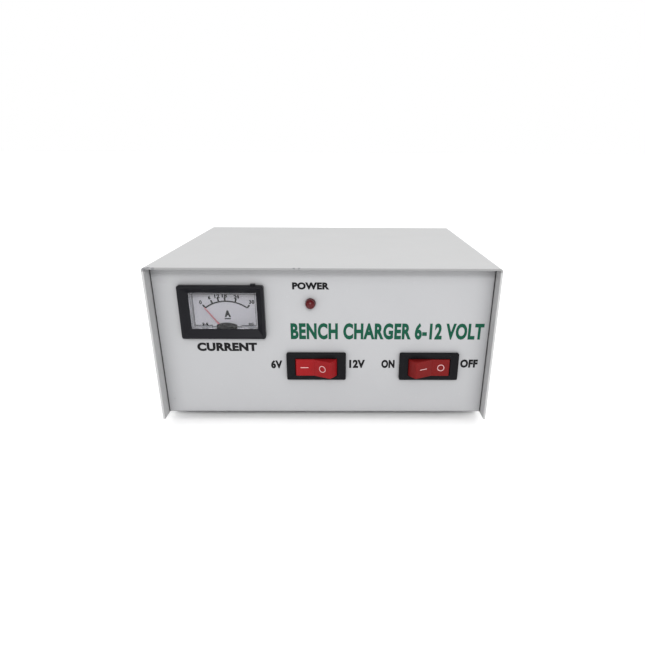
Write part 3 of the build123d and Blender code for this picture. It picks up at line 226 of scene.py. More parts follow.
# %% Node group: fine grain
grain_tree, grain_in, grain_out = new_group(
    "fine_grain", {"Scale": 1200.0}, {"Height": "NodeSocketFloat"}
)
large = noise_node(grain_tree, grain_in.outputs["Scale"], detail=3.0)
finer_scale = math_node(grain_tree, "MULTIPLY", grain_in.outputs["Scale"], 3.1)
small = noise_node(grain_tree, finer_scale, detail=2.0)
grain_sum = math_node(grain_tree, "ADD", large, math_node(grain_tree, "MULTIPLY", small, 0.4))
grain_tree.links.new(grain_sum, grain_out.inputs["Height"])

# %% Node group: handling
handling_tree, handling_in, handling_out = new_group(
    "handling",
    {"Scale": 22.0, "Spread": 0.08},
    {"Sheen": "NodeSocketFloat", "Dust": "NodeSocketFloat"},
)
smudge = noise_node(handling_tree, handling_in.outputs["Scale"], detail=4.0, roughness=0.6)
centred = math_node(handling_tree, "SUBTRACT", smudge, 0.5)
sheen = math_node(handling_tree, "MULTIPLY", centred, handling_in.outputs["Spread"])
handling_tree.links.new(sheen, handling_out.inputs["Sheen"])
speck = noise_node(handling_tree, 900.0, detail=1.0)
speck_mask = ramp_node(handling_tree, speck, 0.74, 0.80)
handling_tree.links.new(speck_mask, handling_out.inputs["Dust"])

# %% Node group: worn edge
wear_tree, wear_in, wear_out = new_group(
    "worn_edge",
    {"Radius": 0.0004, "Amount": 0.5},
    {"Normal": "NodeSocketVector", "Edge": "NodeSocketFloat", "Chips": "NodeSocketFloat"},
)
rounding = wear_tree.nodes.new("ShaderNodeBevel")
rounding.samples = 6
wear_tree.links.new(wear_in.outputs["Radius"], rounding.inputs["Radius"])
true_normal = wear_tree.nodes.new("ShaderNodeNewGeometry").outputs["Normal"]
alike = wear_tree.nodes.new("ShaderNodeVectorMath")
alike.operation = "DOT_PRODUCT"
wear_tree.links.new(rounding.outputs["Normal"], alike.inputs[0])
wear_tree.links.new(true_normal, alike.inputs[1])
edge_mask = ramp_node(wear_tree, alike.outputs["Value"], 0.985, 0.85)
chip_noise = noise_node(wear_tree, 260.0, detail=5.0, roughness=0.7)
chip_level = math_node(wear_tree, "MULTIPLY", chip_noise, edge_mask)
chip_cut = math_node(wear_tree, "SUBTRACT", 1.0, wear_in.outputs["Amount"])
chips = math_node(wear_tree, "GREATER_THAN", chip_level, chip_cut)
wear_tree.links.new(rounding.outputs["Normal"], wear_out.inputs["Normal"])
wear_tree.links.new(edge_mask, wear_out.inputs["Edge"])
wear_tree.links.new(chips, wear_out.inputs["Chips"])

# %% Node group: painted shade in inner corners
# Painted shade: ambient occlusion darkens the colour in seams, inner corners and under overhangs.
corner_tree, corner_in, corner_out = new_group(
    "painted_corner_shade", {"Reach": 0.009}, {"Shade": "NodeSocketFloat"}
)
nearby = corner_tree.nodes.new("ShaderNodeAmbientOcclusion")
nearby.samples = 8
corner_tree.links.new(corner_in.outputs["Reach"], nearby.inputs["Distance"])
corner_shade = ramp_node(corner_tree, nearby.outputs["AO"], 0.35, 0.95, 1.0, 0.0)
corner_tree.links.new(corner_shade, corner_out.inputs["Shade"])

# %% Node group: scuff
scuff_tree, scuff_in, scuff_out = new_group(
    "scuff", {"X": 0.0, "Y": 0.0, "Z": 0.0, "Size": 0.001}, {"Mark": "NodeSocketFloat"}
)
scuff_place = scuff_tree.nodes.new("ShaderNodeCombineXYZ")
for axis in "XYZ":
    scuff_tree.links.new(scuff_in.outputs[axis], scuff_place.inputs[axis])
away = scuff_tree.nodes.new("ShaderNodeVectorMath")
away.operation = "DISTANCE"
scuff_point = scuff_tree.nodes.new("ShaderNodeTexCoord").outputs["Object"]
scuff_tree.links.new(scuff_point, away.inputs[0])
scuff_tree.links.new(scuff_place.outputs["Vector"], away.inputs[1])
closeness = math_node(scuff_tree, "DIVIDE", away.outputs["Value"], scuff_in.outputs["Size"])
ragged = math_node(scuff_tree, "MULTIPLY", noise_node(scuff_tree, 1500.0, detail=3.0), 1.6)
mark_level = math_node(scuff_tree, "ADD", closeness, ragged)
mark_mask = ramp_node(scuff_tree, mark_level, 1.45, 1.65, 1.0, 0.0)
scuff_tree.links.new(mark_mask, scuff_out.inputs["Mark"])

# %% Node group: painted shade on the lip's front face
# Painted shade: faces that point to the front and lie above a height are darkened in the colour.
lip_shade_tree, lip_shade_in, lip_shade_out = new_group("painted_lip_shade", {"Above": 0.0}, {"LipShade": "NodeSocketFloat"})
lip_facing = lip_shade_tree.nodes.new("ShaderNodeSeparateXYZ")
lip_normal = lip_shade_tree.nodes.new("ShaderNodeNewGeometry").outputs["True Normal"]
lip_shade_tree.links.new(lip_normal, lip_facing.inputs[0])
lip_place = lip_shade_tree.nodes.new("ShaderNodeSeparateXYZ")
lip_point = lip_shade_tree.nodes.new("ShaderNodeTexCoord").outputs["Object"]
lip_shade_tree.links.new(lip_point, lip_place.inputs[0])
faces_front = math_node(lip_shade_tree, "LESS_THAN", lip_facing.outputs["Y"], -0.9)
is_above = math_node(lip_shade_tree, "GREATER_THAN", lip_place.outputs["Z"], lip_shade_in.outputs["Above"])
lip_shade_mask = math_node(lip_shade_tree, "MULTIPLY", faces_front, is_above)
lip_shade_tree.links.new(lip_shade_mask, lip_shade_out.inputs["LipShade"])
print("node groups", [tree.name for tree in bpy.data.node_groups])

# %% [markdown]
# ## The standard finish
# Nearly every finish here is one recipe with different numbers: a base colour that drifts a
# little, a second colour where the edge is worn, roughness that handling changes, fine grain as
# bump, and a softened edge. One function builds it, and each material below calls it with the
# values of its own real surface.


# %% The standard finish
def group_node(tree, name, **numbers):
    """A node that holds the named group, with its inputs set."""
    node = tree.nodes.new("ShaderNodeGroup")
    node.node_tree = bpy.data.node_groups[name]
    for label, number in numbers.items():
        node.inputs[label].default_value = number
    return node


def mix_colour(tree, mask, first, second):
    """A Mix node between two colours, each a socket or a tuple, and its output."""
    node = tree.nodes.new("ShaderNodeMix")
    node.data_type = "RGBA"
    sockets = [socket for socket in node.inputs if socket.type == "RGBA"]
    for socket, value in zip(sockets, (first, second)):
        if isinstance(value, tuple):
            socket.default_value = (*value, 1.0)
        else:
            tree.links.new(value, socket)
    tree.links.new(mask, node.inputs[0])
    return [socket for socket in node.outputs if socket.type == "RGBA"][0]


def finish_like(
    name, colour, second, rough, grain=1200.0, bump=0.0, metal=0.0, edge=0.0003,
    chips=0.0, chip_colour=(0.12, 0.12, 0.12), spread=0.08, drift=0.5, specular=0.5,
    corner=0.0, reach=0.002, lip_shade_above=None, scuffs=(),
):
    """The standard finish.

    second is the colour that the base drifts to in broad patches, corner and reach paint shade into
    inner corners, seams and under overhangs, lip_shade_above is the height in mm above which faces
    that point to the front get painted shade, and scuffs is a list of marks as (x, y, z, size) in
    mm.
    """
    material = bpy.data.materials.new(name)
    material.use_nodes = True
    tree = material.node_tree
    shader = tree.nodes["Principled BSDF"]
    shader.inputs["Metallic"].default_value = metal
    shader.inputs["Specular IOR Level"].default_value = specular
    handling = group_node(tree, "handling", Spread=spread)
    fine = group_node(tree, "fine_grain", Scale=grain)
    worn = group_node(tree, "worn_edge", Radius=edge, Amount=chips)
    patches = ramp_node(tree, noise_node(tree, 35.0, detail=5.0), 0.35, 0.70, 0.0, drift)
    colour_now = mix_colour(tree, patches, colour, second)
    lighter = tuple(min(1.0, channel * 1.25 + 0.02) for channel in second)
    dust = math_node(tree, "MULTIPLY", handling.outputs["Dust"], 0.35)
    colour_now = mix_colour(tree, dust, colour_now, lighter)
    if chips:
        colour_now = mix_colour(tree, worn.outputs["Chips"], colour_now, chip_colour)
    # Painted shade: darkens faces that point to the front above the given height.
    if lip_shade_above:
        lip_shade = group_node(tree, "painted_lip_shade", Above=lip_shade_above * MM)
        lip_shade_colour = tuple(channel * 0.60 for channel in colour)
        colour_now = mix_colour(tree, lip_shade.outputs["LipShade"], colour_now, lip_shade_colour)
    for place in scuffs:
        x, y, z, size = (value * MM for value in place)
        scuff = group_node(tree, "scuff", X=x, Y=y, Z=z, Size=size)
        colour_now = mix_colour(tree, scuff.outputs["Mark"], colour_now, chip_colour)
    # Painted shade: darkens the colour towards near black in corners, seams and under overhangs.
    if corner:
        shade_group = group_node(tree, "painted_corner_shade", Reach=reach)
        shade = math_node(tree, "MULTIPLY", shade_group.outputs["Shade"], corner)
        painted_shade_colour = tuple(channel * 0.06 for channel in colour)
        colour_now = mix_colour(tree, shade, colour_now, painted_shade_colour)
    tree.links.new(colour_now, shader.inputs["Base Color"])
    rough_now = math_node(tree, "ADD", handling.outputs["Sheen"], rough, clamp=True)
    tree.links.new(rough_now, shader.inputs["Roughness"])
    relief = tree.nodes.new("ShaderNodeBump")
    relief.inputs["Strength"].default_value = 1.0
    relief.inputs["Distance"].default_value = bump * MM
    tree.links.new(fine.outputs["Height"], relief.inputs["Height"])
    tree.links.new(worn.outputs["Normal"], relief.inputs["Normal"])
    tree.links.new(relief.outputs["Normal"], shader.inputs["Normal"])
    return material


def coat(material, *nodes):
    """Gives CAD nodes a finish."""
    for node in nodes:
        slots = frame["nodes"][node].material_slots
        for slot in slots:
            slot.material = material
    print(material.name, "on", len(nodes), "pieces")


# %% [markdown]
# ## Floor finish
# The floor is a matt white sheet. A very faint change of tone keeps it from being a flat fill.

# %% Floor finish
white_sheet = bpy.data.materials.new("white_sheet")
white_sheet.use_nodes = True
sheet_tree = white_sheet.node_tree
sheet_tone = ramp_node(sheet_tree, noise_node(sheet_tree, 3.0), 0.3, 0.7)
sheet_colour = mix_colour(sheet_tree, sheet_tone, (0.95, 0.95, 0.95), (0.97, 0.97, 0.97))
sheet_tree.links.new(sheet_colour, sheet_tree.nodes["Principled BSDF"].inputs["Base Color"])
sheet_tree.nodes["Principled BSDF"].inputs["Roughness"].default_value = 0.9
floor.data.materials.append(white_sheet)

# %% [markdown]
# ## Painted sheet metal
# The case is powder coated in a light grey. The coat has a faint orange peel, a satin sheen,
# and a few scuffs at the cover's front edge where the dark primer shows. Shade is painted into
# the colour in the seams beside the cover's sides, in the band under the cover's overhang and on
# the front face of the cover's lip.

# %% Painted sheet metal
lip_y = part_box("cover")[0].y / MM
top_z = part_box("cover")[1].z / MM
LIP_SCUFFS = [  # x, y, z and size, in mm
    (-84.5, lip_y, top_z - 0.8, 1.3),
    (-82.6, lip_y + 0.5, top_z, 1.1),
    (-80.4, lip_y, top_z - 0.4, 1.0),
    (-13.6, lip_y + 0.3, top_z, 0.8),
    (-11.2, lip_y + 0.3, top_z, 0.8),
]
# Painted shade: near-black seams beside the sides, and a darker front face of the top lip.
cover_grey = finish_like(
    "cover_grey", (0.398, 0.399, 0.401), (0.380, 0.382, 0.385), 0.42, grain=700.0, bump=0.012,
    edge=0.0005, chip_colour=(0.16, 0.16, 0.17), spread=0.12, corner=0.9, reach=0.0012,
    lip_shade_above=top_z - 2.0, scuffs=LIP_SCUFFS,
)
coat(cover_grey, "cover")
# Painted shade: a band under the cover's overhang and soft shade near the raised parts.
panel_grey = finish_like(
    "panel_grey", (0.352, 0.354, 0.364), (0.337, 0.339, 0.349), 0.40, grain=700.0, bump=0.012,
    edge=0.0005, chip_colour=(0.33, 0.33, 0.34), spread=0.12, corner=0.36, reach=0.010,
    scuffs=[(-81.3, panel_y / MM, (case_foot / MM) + 8.5, 0.8)],
)
coat(panel_grey, "chassis")

# %% [markdown]
# ## Black plastics and rubber
# The meter's frame is a semi-gloss moulding, the switch bodies are matt nylon, and the feet and
# grommets are rubber, which is the dullest and the greyest where it has been handled.

# %% Black plastics and rubber
meter_black = finish_like(
    "meter_black", (0.004, 0.004, 0.006), (0.007, 0.007, 0.010), 0.34, grain=1500.0, bump=0.006,
    edge=0.0003, spread=0.15, specular=0.14,
)
coat(meter_black, "meter_bezel", "meter_body")
bridge_black = finish_like(
    "bridge_black", (0.003, 0.003, 0.004), (0.005, 0.005, 0.006), 0.6, bump=0.005, specular=0.05
)
coat(bridge_black, "meter_bridge")
switch_black = finish_like(
    "switch_black", (0.004, 0.004, 0.005), (0.007, 0.007, 0.008), 0.50, grain=2600.0, bump=0.02,
    edge=0.0003, spread=0.15, specular=0.09,
)
coat(
    switch_black, "voltage_switch_housing", "power_switch_housing", "fuse_holder",
    "fuse_holder_nut", "fuse_cap", "led_clip", "rectifier",
)
black_rubber = finish_like(
    "black_rubber", (0.020, 0.020, 0.020), (0.045, 0.044, 0.042), 0.78, grain=900.0, bump=0.03,
    edge=0.0005, spread=0.10,
)
coat(black_rubber, "feet", "mains_grommet", "output_grommet", "transformer_pads")

# %% [markdown]
# ## Red rockers
# The rockers are red polycarbonate, satin, with a little light soaking in under the surface. The
# power rocker's red is a darker, browner copy of the same red, which paints shade on it, and both
# rockers get painted shade in their corners.

# %% Red rockers
ROCKER_REDS_WITH_PAINTED_SHADE = {
    "voltage_rocker": ((0.255, 0.008, 0.010), (0.180, 0.006, 0.008)),
    # painted shade: the power rocker's red is the voltage rocker's red darkened
    "power_rocker": ((0.150, 0.007, 0.007), (0.105, 0.005, 0.005)),
}
for node, (colour, second) in ROCKER_REDS_WITH_PAINTED_SHADE.items():
    # corner=0.5 paints shade where a rocker meets its housing
    rocker_red = finish_like(
        node + "_red", colour, second, 0.36, grain=1800.0, bump=0.008, edge=0.0004, spread=0.12,
        specular=0.10, drift=0.8, corner=0.5,
    )
    rocker_shader = rocker_red.node_tree.nodes["Principled BSDF"]
    rocker_shader.inputs["Subsurface Weight"].default_value = 0.15
    rocker_shader.inputs["Subsurface Radius"].default_value = (0.002, 0.0004, 0.0003)
    coat(rocker_red, node)

# %% [markdown]
# ## Metals
# Zinc plate has a faint yellow and blue drift, the heat sink is milled aluminium with its grain
# along one way, brass and copper carry the current, and the magnet and core are dark steel.

# %% Metals
zinc_plate = finish_like(
    "zinc_plate", (0.60, 0.60, 0.58), (0.66, 0.63, 0.52), 0.32, grain=1600.0, bump=0.004,
    metal=1.0, edge=0.0003, spread=0.2,
)
coat(
    zinc_plate, "cover_screws", "foot_screws", "foot_nuts", "base_screws", "base_nuts",
    "rectifier_screw", "rectifier_tabs", "transformer_frame", "meter_yoke",
    "voltage_plunger_spring", "power_plunger_spring", "fuse_ends", "fuse_holder_tail",
)
milled_aluminium = finish_like(
    "milled_aluminium", (0.70, 0.71, 0.72), (0.62, 0.63, 0.64), 0.38, grain=800.0, bump=0.01,
    metal=1.0, spread=0.2,
)
coat(milled_aluminium, "heat_sink")
brass = finish_like(
    "brass", (0.72, 0.52, 0.22), (0.60, 0.40, 0.16), 0.30, grain=1400.0, bump=0.005, metal=1.0,
    spread=0.2,
)
coat(
    brass, "meter_studs", "meter_nuts", "hairspring", "voltage_terminals", "power_terminals",
    "voltage_contact_lever", "power_contact_lever",
)
dark_steel = finish_like(
    "dark_steel", (0.20, 0.20, 0.21), (0.14, 0.13, 0.13), 0.40, metal=0.9, bump=0.006, spread=0.2
)
coat(dark_steel, "meter_magnet", "meter_core")

# %% [markdown]
# ## Striped finishes: laminations and windings
# A transformer's core is a stack of thin steel sheets, and its coils are turns of wire under
# tape. Both are many fine parallel lines, so one helper makes stripes along an axis and uses
# them for the colour and the relief. They are drawn in the finish because each line is a third
# of a millimetre and sits inside the case.


# %% Striped finishes
def striped(name, light, dark, rough, axis, pitch, bump, metal=0.0):
    """A finish with stripes of that pitch, in mm, stacked along an axis."""
    material = finish_like(name, light, dark, rough, metal=metal)
    tree = material.node_tree
    shader = tree.nodes["Principled BSDF"]
    split = tree.nodes.new("ShaderNodeSeparateXYZ")
    tree.links.new(tree.nodes.new("ShaderNodeTexCoord").outputs["Object"], split.inputs[0])
    phase = math_node(tree, "MULTIPLY", split.outputs[axis], 2 * math.pi / (pitch * MM))
    wave = math_node(tree, "SINE", phase)
    stripe = ramp_node(tree, wave, -0.9, 0.2)
    base = shader.inputs["Base Color"].links[0].from_socket
    tree.links.new(mix_colour(tree, stripe, dark, base), shader.inputs["Base Color"])
    relief = tree.nodes.new("ShaderNodeBump")
    relief.inputs["Distance"].default_value = bump * MM
    tree.links.new(stripe, relief.inputs["Height"])
    tree.links.new(shader.inputs["Normal"].links[0].from_socket, relief.inputs["Normal"])
    tree.links.new(relief.outputs["Normal"], shader.inputs["Normal"])
    return material


coat(striped("laminations", (0.16, 0.15, 0.15), (0.03, 0.025, 0.02), 0.45, "Y", 0.5, 0.08, 0.6),
     "transformer_core")
coat(striped("winding_tape", (0.62, 0.40, 0.06), (0.40, 0.24, 0.03), 0.40, "Z", 1.4, 0.10),
     "primary_winding", "secondary_winding")
coat(striped("copper_turns", (0.62, 0.26, 0.10), (0.25, 0.08, 0.03), 0.30, "Z", 0.12, 0.03, 1.0),
     "moving_coil")

# %% [markdown]
# ## Nylon and wire insulation
# Bobbin and plungers are natural nylon. Each wire's colour says what it does.

# %% Nylon and wire insulation
coat(finish_like("natural_nylon", (0.70, 0.67, 0.56), (0.62, 0.58, 0.47), 0.5, bump=0.01),
     "transformer_bobbin", "voltage_plunger", "power_plunger")
WIRE_COLOURS = {
    "mains_wires": (0.030, 0.090, 0.360),
    "secondary_wires": (0.640, 0.460, 0.030),
    "output_wire": (0.420, 0.016, 0.016),
    "lamp_wires": (0.500, 0.030, 0.030),
}
for node, colour in WIRE_COLOURS.items():
    worn_colour = tuple(channel * 0.8 for channel in colour)
    coat(finish_like(node + "_sleeve", colour, worn_colour, 0.38, bump=0.01), node)

# %% [markdown]
# ## Dial and needle
# The dial is a tin plate sprayed matt white, and the needle is painted red.

# %% Dial and needle
dial_white = finish_like(
    "dial_white", (0.430, 0.420, 0.448), (0.412, 0.402, 0.430), 0.60, grain=2500.0, bump=0.004,
    specular=0.3,
)
coat(dial_white, "dial_plate")
needle_red = finish_like("needle_red", (0.52, 0.12, 0.15), (0.46, 0.09, 0.12), 0.45, bump=0.002)
coat(needle_red, "pointer")

# %% [markdown]
# ## Clear plastic
# The meter's window and the fuse's tube are clear. A clear solid would throw a dark shadow on
# the dial, because the renderer doesn't focus light through it, so shadow rays pass through a
# transparent shader instead. Faint scratches change the roughness.


# %% Clear plastic
def clear_like(name, tint, rough, index):
    """A clear finish of that tint, roughness and index of refraction, which casts no dark shadow."""
    material = bpy.data.materials.new(name)
    material.use_nodes = True
    tree = material.node_tree
    shader = tree.nodes["Principled BSDF"]
    shader.inputs["Transmission Weight"].default_value = 1.0
    shader.inputs["IOR"].default_value = index
    streaks = ramp_node(tree, noise_node(tree, 140.0, detail=6.0), 0.45, 0.75, rough, rough + 0.06)
    tree.links.new(streaks, shader.inputs["Roughness"])
    paler = tuple(channel * 0.97 for channel in tint)
    tint_mask = ramp_node(tree, noise_node(tree, 60.0), 0.3, 0.7)
    tree.links.new(mix_colour(tree, tint_mask, tint, paler), shader.inputs["Base Color"])
    passing = tree.nodes.new("ShaderNodeBsdfTransparent")
    passing.inputs["Color"].default_value = (*tint, 1.0)
    choose = tree.nodes.new("ShaderNodeMixShader")
    tree.links.new(tree.nodes.new("ShaderNodeLightPath").outputs["Is Shadow Ray"], choose.inputs[0])
    tree.links.new(shader.outputs[0], choose.inputs[1])
    tree.links.new(passing.outputs[0], choose.inputs[2])
    tree.links.new(choose.outputs[0], tree.nodes["Material Output"].inputs["Surface"])
    return material


coat(clear_like("window_clear", (0.78, 0.785, 0.795), 0.03, 1.34), "meter_window")
coat(clear_like("fuse_clear", (0.93, 0.96, 0.95), 0.02, 1.47), "fuse_glass")

# %% [markdown]
# ## Ink
# The lettering is screen printed: a thin film of ink with a slightly uneven edge and sheen.
# The title is green, the rest is black, and the rockers' marks are a pale pink-white.

# %% Ink
ink_black = finish_like(
    "ink_black", (0.004, 0.004, 0.005), (0.008, 0.008, 0.009), 0.55, bump=0.002, specular=0.12
)
ink_green = finish_like(
    "ink_green", (0.001, 0.058, 0.031), (0.002, 0.068, 0.037), 0.55, bump=0.002, specular=0.15
)
ink_pale = finish_like(
    "ink_pale", (0.66, 0.42, 0.42), (0.58, 0.34, 0.34), 0.55, bump=0.002, specular=0.2
)


# %% [markdown]
# ## Lettering
# A text object gives the outline of each word. It is made a mesh at once, with a little
# thickness so that it is a closed film of ink, then scaled to the size that it is printed and
# laid on its plane. `thicker` swells the outline, which turns the plain face into a bold one.


# %% Helpers for print
INK_FILM = 0.03 * MM


def lay(mesh, name, ink, body, place):
    """Puts a mesh in the scene as a finished piece on a CAD body, with its place in its mesh."""
    mesh.transform(place)
    mesh.materials.clear()
    mesh.materials.append(ink)
    piece = bpy.data.objects.new(name, mesh)
    scene.collection.objects.link(piece)
    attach(piece, body)
    return piece


def face_plane(origin, across=Vector((1, 0, 0)), up=Vector((0, 0, 1))):
    """The transform that lays a flat drawing on a plane, its own +Z pointing out of the plane."""
    out = across.cross(up)
    turn = Matrix((across, up, out)).transposed().to_4x4()
    return Matrix.Translation(origin + out * INK_FILM / 2) @ turn


def printed_word(name, words, middle, size, ink, y=panel_y, thicker=0.05):
    """Words printed over a box of the given middle and size, in mm across and up the panel."""
    text = bpy.data.curves.new(name, "FONT")
    text.body = words
    text.offset = thicker
    text.space_character = 1.08
    text.extrude = 0.5
    text.resolution_u = 4
    maker = bpy.data.objects.new(name + "_maker", text)
    scene.collection.objects.link(maker)
    bpy.context.view_layer.update()
    evaluated = maker.evaluated_get(bpy.context.evaluated_depsgraph_get())
    mesh = bpy.data.meshes.new_from_object(evaluated)
    bpy.data.objects.remove(maker)
    lows = Vector([min(v.co[axis] for v in mesh.vertices) for axis in range(3)])
    highs = Vector([max(v.co[axis] for v in mesh.vertices) for axis in range(3)])
    centre = Matrix.Translation(-(lows + highs) / 2)
    wide, tall, deep = highs - lows
    stretch = Matrix.Diagonal((size[0] * MM / wide, size[1] * MM / tall, INK_FILM / deep, 1.0))
    place = face_plane(on_panel(*middle, y=y)) @ stretch @ centre
    print(name, len(mesh.polygons), "faces")
    return lay(mesh, name, ink, "case", place)


# %% Lettering on the panel
PANEL_WORDS = {  # name: (words, middle, size, ink), in mm
    "label_power": ("POWER", (-6.4, 71.8), (18.4, 3.7), ink_black),
    "label_current": ("CURRENT", (-50.4, 38.9), (31.0, 4.8), ink_black),
    "label_6v": ("6V", (-25.2, 29.0), (6.0, 4.8), ink_black),
    "label_12v": ("12V", (17.1, 29.3), (8.3, 4.8), ink_black),
    "label_on": ("ON", (33.4, 29.3), (7.0, 4.8), ink_black),
    "label_off": ("OFF", (76.2, 29.6), (9.2, 4.8), ink_black),
    "label_title": ("BENCH CHARGER 6-12 VOLT", (32.5, 47.8), (99.4, 9.2), ink_green),
}
for name, (words, middle, size, ink) in PANEL_WORDS.items():
    thicker = 0.045 if name == "label_title" else 0.058
    printed_word(name, words, middle, size, ink, thicker=thicker)

# %% [markdown]
# ## The dial's scale
# The scale is an arc about the needle's axis with a tick and a number at each step. The steps
# are closer together below the middle than above it. The arc is a flat ring that is built by
# spinning a short radial edge, and each tick is a thin bar.

# %% The dial's scale
ARC_R = 17.7
ARC_WIDE = 0.75
TICK_LONG = 2.1
TICK_WIDE = 0.85
UNIT_LINE = (0.3, 8.3)  # middle of the line under the unit, right of the staff and above it
UNIT_LINE_LONG = 3.2
UNIT_LINE_WIDE = 0.6
ARC_STEPS = 40
SCALE_MARKS = {"0": -37.0, "6": -22.6, "12": -11.8, "18": -1.3, "24": 15.6, "30": 37.2}
NUMBER_R = {"0": 21.4, "6": 21.3, "12": 20.8, "18": 20.7, "24": 20.9, "30": 21.8}
staff_x = staff.x / MM
staff_z = (staff.z - case_foot) / MM


def film(bm):
    """Gives a flat drawing the thickness of a film of ink, centred on its plane, as a mesh."""
    bmesh.ops.remove_doubles(bm, verts=bm.verts, dist=1e-7)
    whole = bmesh.ops.extrude_face_region(bm, geom=bm.faces[:])
    raised = [item for item in whole["geom"] if isinstance(item, bmesh.types.BMVert)]
    bmesh.ops.translate(bm, verts=raised, vec=(0, 0, INK_FILM))
    bmesh.ops.translate(bm, verts=bm.verts, vec=(0, 0, -INK_FILM / 2))
    bmesh.ops.recalc_face_normals(bm, faces=bm.faces)
    mesh = bpy.data.meshes.new("film")
    bm.to_mesh(mesh)
    bm.free()
    return mesh


def bar(bm, middle, wide, tall, turn=0.0):
    """Adds a flat bar to a drawing, in metres, turned clockwise by an angle."""
    made = bmesh.ops.create_grid(bm, x_segments=1, y_segments=1, size=0.5)["verts"]
    spot = Matrix.Translation((*middle, 0)) @ Matrix.Rotation(-turn, 4, "Z")
    bmesh.ops.transform(bm, matrix=spot @ Matrix.Diagonal((wide, tall, 1, 1)), verts=made)


scale_bm = bmesh.new()
zero, full = (math.radians(SCALE_MARKS[mark]) for mark in ("0", "30"))
inner_end = scale_bm.verts.new((0, (ARC_R - ARC_WIDE / 2) * MM, 0))
outer_end = scale_bm.verts.new((0, (ARC_R + ARC_WIDE / 2) * MM, 0))
arc_edge = scale_bm.edges.new((inner_end, outer_end))
bmesh.ops.rotate(
    scale_bm, verts=[inner_end, outer_end], matrix=Matrix.Rotation(-zero, 3, "Z")
)
bmesh.ops.spin(
    scale_bm, geom=[arc_edge, inner_end, outer_end], axis=(0, 0, 1), angle=zero - full,
    steps=ARC_STEPS
)
for degrees in SCALE_MARKS.values():
    turn = math.radians(degrees)
    reach = (ARC_R + TICK_LONG / 2) * MM
    spot = (reach * math.sin(turn), reach * math.cos(turn))
    bar(scale_bm, spot, TICK_WIDE * MM, TICK_LONG * MM, turn)
unit_line = (UNIT_LINE[0] * MM, UNIT_LINE[1] * MM)
bar(scale_bm, unit_line, UNIT_LINE_LONG * MM, UNIT_LINE_WIDE * MM)
dial_axis = on_panel(staff_x, staff_z, y=dial_y)
lay(film(scale_bm), "dial_scale", ink_black, "case", face_plane(dial_axis))
print("scale from", SCALE_MARKS["0"], "to", SCALE_MARKS["30"], "degrees")

# %% Numbers on the dial
DIGIT_WIDE = 1.35
DIGIT_TALL = 2.1
for mark, degrees in SCALE_MARKS.items():
    turn = math.radians(degrees)
    reach = NUMBER_R[mark]
    middle = (staff_x + reach * math.sin(turn), staff_z + reach * math.cos(turn))
    size = (DIGIT_WIDE * len(mark), DIGIT_TALL)
    printed_word("dial_number_" + mark, mark, middle, size, ink_black, dial_y,
                 thicker=0.055)
DIAL_WORDS = {  # name: (words, right of the staff, above the staff, size), in mm
    "dial_unit": ("A", 0.4, 11.0, (3.3, 3.8)),
    "dial_class": ("2.5", -11.6, 5.4, (3.2, 1.3)),
    "dial_kind": ("DC", 12.2, 5.4, (2.6, 1.3)),
}
for name, (words, right, above, size) in DIAL_WORDS.items():
    middle = (staff_x + right, staff_z + above)
    printed_word(name, words, middle, size, ink_black, dial_y, thicker=0.07)

# %% [markdown]
# ## Marks on the rockers
# Each rocker has a bar on one flat and a ring on the other. Both flats lie at the same distance
# from the hinge line and lean 12 degrees either way, so the marks are laid on planes worked out
# from the hinge, and they ride with the rocker.

# %% Marks on the rockers
FLAT_OUT = 5.6 * MM  # hinge line to either flat
MARK_ALONG = 6.1 * MM  # the rocker's middle to either mark
DASH_LONG = 4.1 * MM
DASH_WIDE = 0.4 * MM
RING_RADII = (1.5 * MM, 1.86 * MM)
RING_STEPS = 40
LEAN = math.radians(12)
STORED_TURN = {"voltage": -LEAN, "power": LEAN}


def flat_plane(hinge, turn, side):
    """The plane of one flat of a rocker: side is -1 on the left and 1 on the right."""
    angle = turn - side * LEAN
    across = Vector((math.cos(angle), math.sin(angle), 0))
    out = Vector((math.sin(angle), -math.cos(angle), 0))
    return face_plane(hinge + out * FLAT_OUT + across * side * MARK_ALONG, across)


for switch, turn in STORED_TURN.items():
    hinge = Vector(joints[switch + "_rocker"]["pos_m"])
    dash_bm = bmesh.new()
    bar(dash_bm, (0, 0), DASH_LONG, DASH_WIDE)
    lay(film(dash_bm), switch + "_rocker_bar", ink_pale, switch + "_rocker_body",
        flat_plane(hinge, turn, -1))
    ring_bm = bmesh.new()
    ends = [ring_bm.verts.new((radius, 0, 0)) for radius in RING_RADII]
    ring_edge = ring_bm.edges.new(ends)
    bmesh.ops.spin(ring_bm, geom=[ring_edge, *ends], axis=(0, 0, 1), angle=2 * math.pi,
                   steps=RING_STEPS, use_merge=True)
    lay(film(ring_bm), switch + "_rocker_ring", ink_pale, switch + "_rocker_body",
        flat_plane(hinge, turn, 1))

# %% [markdown]
# ## The lamp
# A 5 mm lamp is a red epoxy bullet with two metal legs. The solid model holds them as one, so it
# is replaced by a lens, spun from its half outline, and a pair of plated legs behind it.

# %% The lamp's finish
lamp_red = finish_like(
    "lamp_red", (0.080, 0.001, 0.003), (0.052, 0.001, 0.002), 0.25, bump=0.003, specular=0.2
)
lamp_shader = lamp_red.node_tree.nodes["Principled BSDF"]
lamp_shader.inputs["Transmission Weight"].default_value = 0.15
lamp_shader.inputs["IOR"].default_value = 1.54

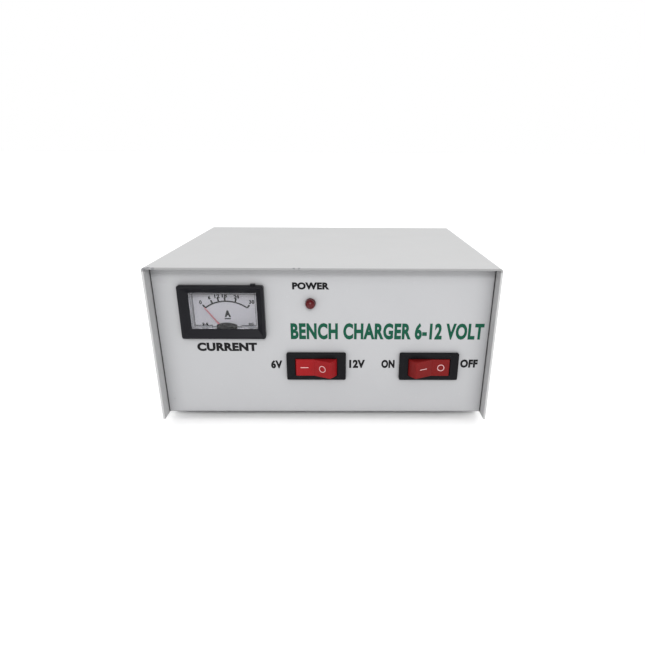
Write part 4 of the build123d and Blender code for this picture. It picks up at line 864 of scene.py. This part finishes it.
# %% The lamp's lens and legs
lamp_low, lamp_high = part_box("power_led")
LENS_R = 2.5 * MM
RIM_R = (lamp_high.x - lamp_low.x) / 2
RIM_TALL = 1.0 * MM
LEG_LONG = 9.0 * MM
LEG_WIDE = 0.5 * MM
LEG_OUT = 1.27 * MM  # middle of the lamp to each leg
LEG_BEVEL = 0.06 * MM
DOME_STEPS = 8
ROUND_STEPS = 48
lens_tall = lamp_high.y - lamp_low.y - LEG_LONG
lens_bm = bmesh.new()
outline = [(0, 0), (RIM_R, 0), (RIM_R, RIM_TALL), (LENS_R, RIM_TALL)]
for step in range(DOME_STEPS + 1):
    lift = step / DOME_STEPS * math.pi / 2
    outline.append((LENS_R * math.cos(lift), lens_tall - LENS_R + LENS_R * math.sin(lift)))
points = [lens_bm.verts.new((radius, 0, height)) for radius, height in outline]
half = [lens_bm.edges.new(pair) for pair in zip(points, points[1:])]
bmesh.ops.spin(lens_bm, geom=points + half, axis=(0, 0, 1), angle=2 * math.pi,
               steps=ROUND_STEPS, use_merge=True)
bmesh.ops.remove_doubles(lens_bm, verts=lens_bm.verts, dist=1e-6)
bmesh.ops.recalc_face_normals(lens_bm, faces=lens_bm.faces)
lens_mesh = bpy.data.meshes.new("lamp_lens")
lens_bm.to_mesh(lens_mesh)
lens_bm.free()
lens_mesh.shade_smooth()
lamp_x = (lamp_low.x + lamp_high.x) / 2
lamp_z = (lamp_low.z + lamp_high.z) / 2
lens_base = Vector((lamp_x, lamp_high.y - LEG_LONG, lamp_z))
facing = Matrix.Rotation(math.radians(90), 4, "X")
lens = lay(lens_mesh, "lamp_lens", lamp_red, "case",
           Matrix.Translation(lens_base) @ facing)
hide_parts("power_led")

legs_bm = bmesh.new()
for side in (-1, 1):
    made = bmesh.ops.create_cube(legs_bm, size=1.0)["verts"]
    spot = Matrix.Translation((side * LEG_OUT, 0, -LEG_LONG / 2))
    shape = Matrix.Diagonal((LEG_WIDE, LEG_WIDE, LEG_LONG, 1))
    bmesh.ops.transform(legs_bm, matrix=spot @ shape, verts=made)
bmesh.ops.bevel(legs_bm, geom=legs_bm.edges[:], offset=LEG_BEVEL, segments=1, profile=0.5,
                affect="EDGES", material=-1)
legs_mesh = bpy.data.meshes.new("lamp_legs")
legs_bm.to_mesh(legs_mesh)
legs_bm.free()
lay(legs_mesh, "lamp_legs", zinc_plate, "case",
    Matrix.Translation(lens_base) @ facing)
print("lens", round(lens_tall / MM, 1), "mm long")
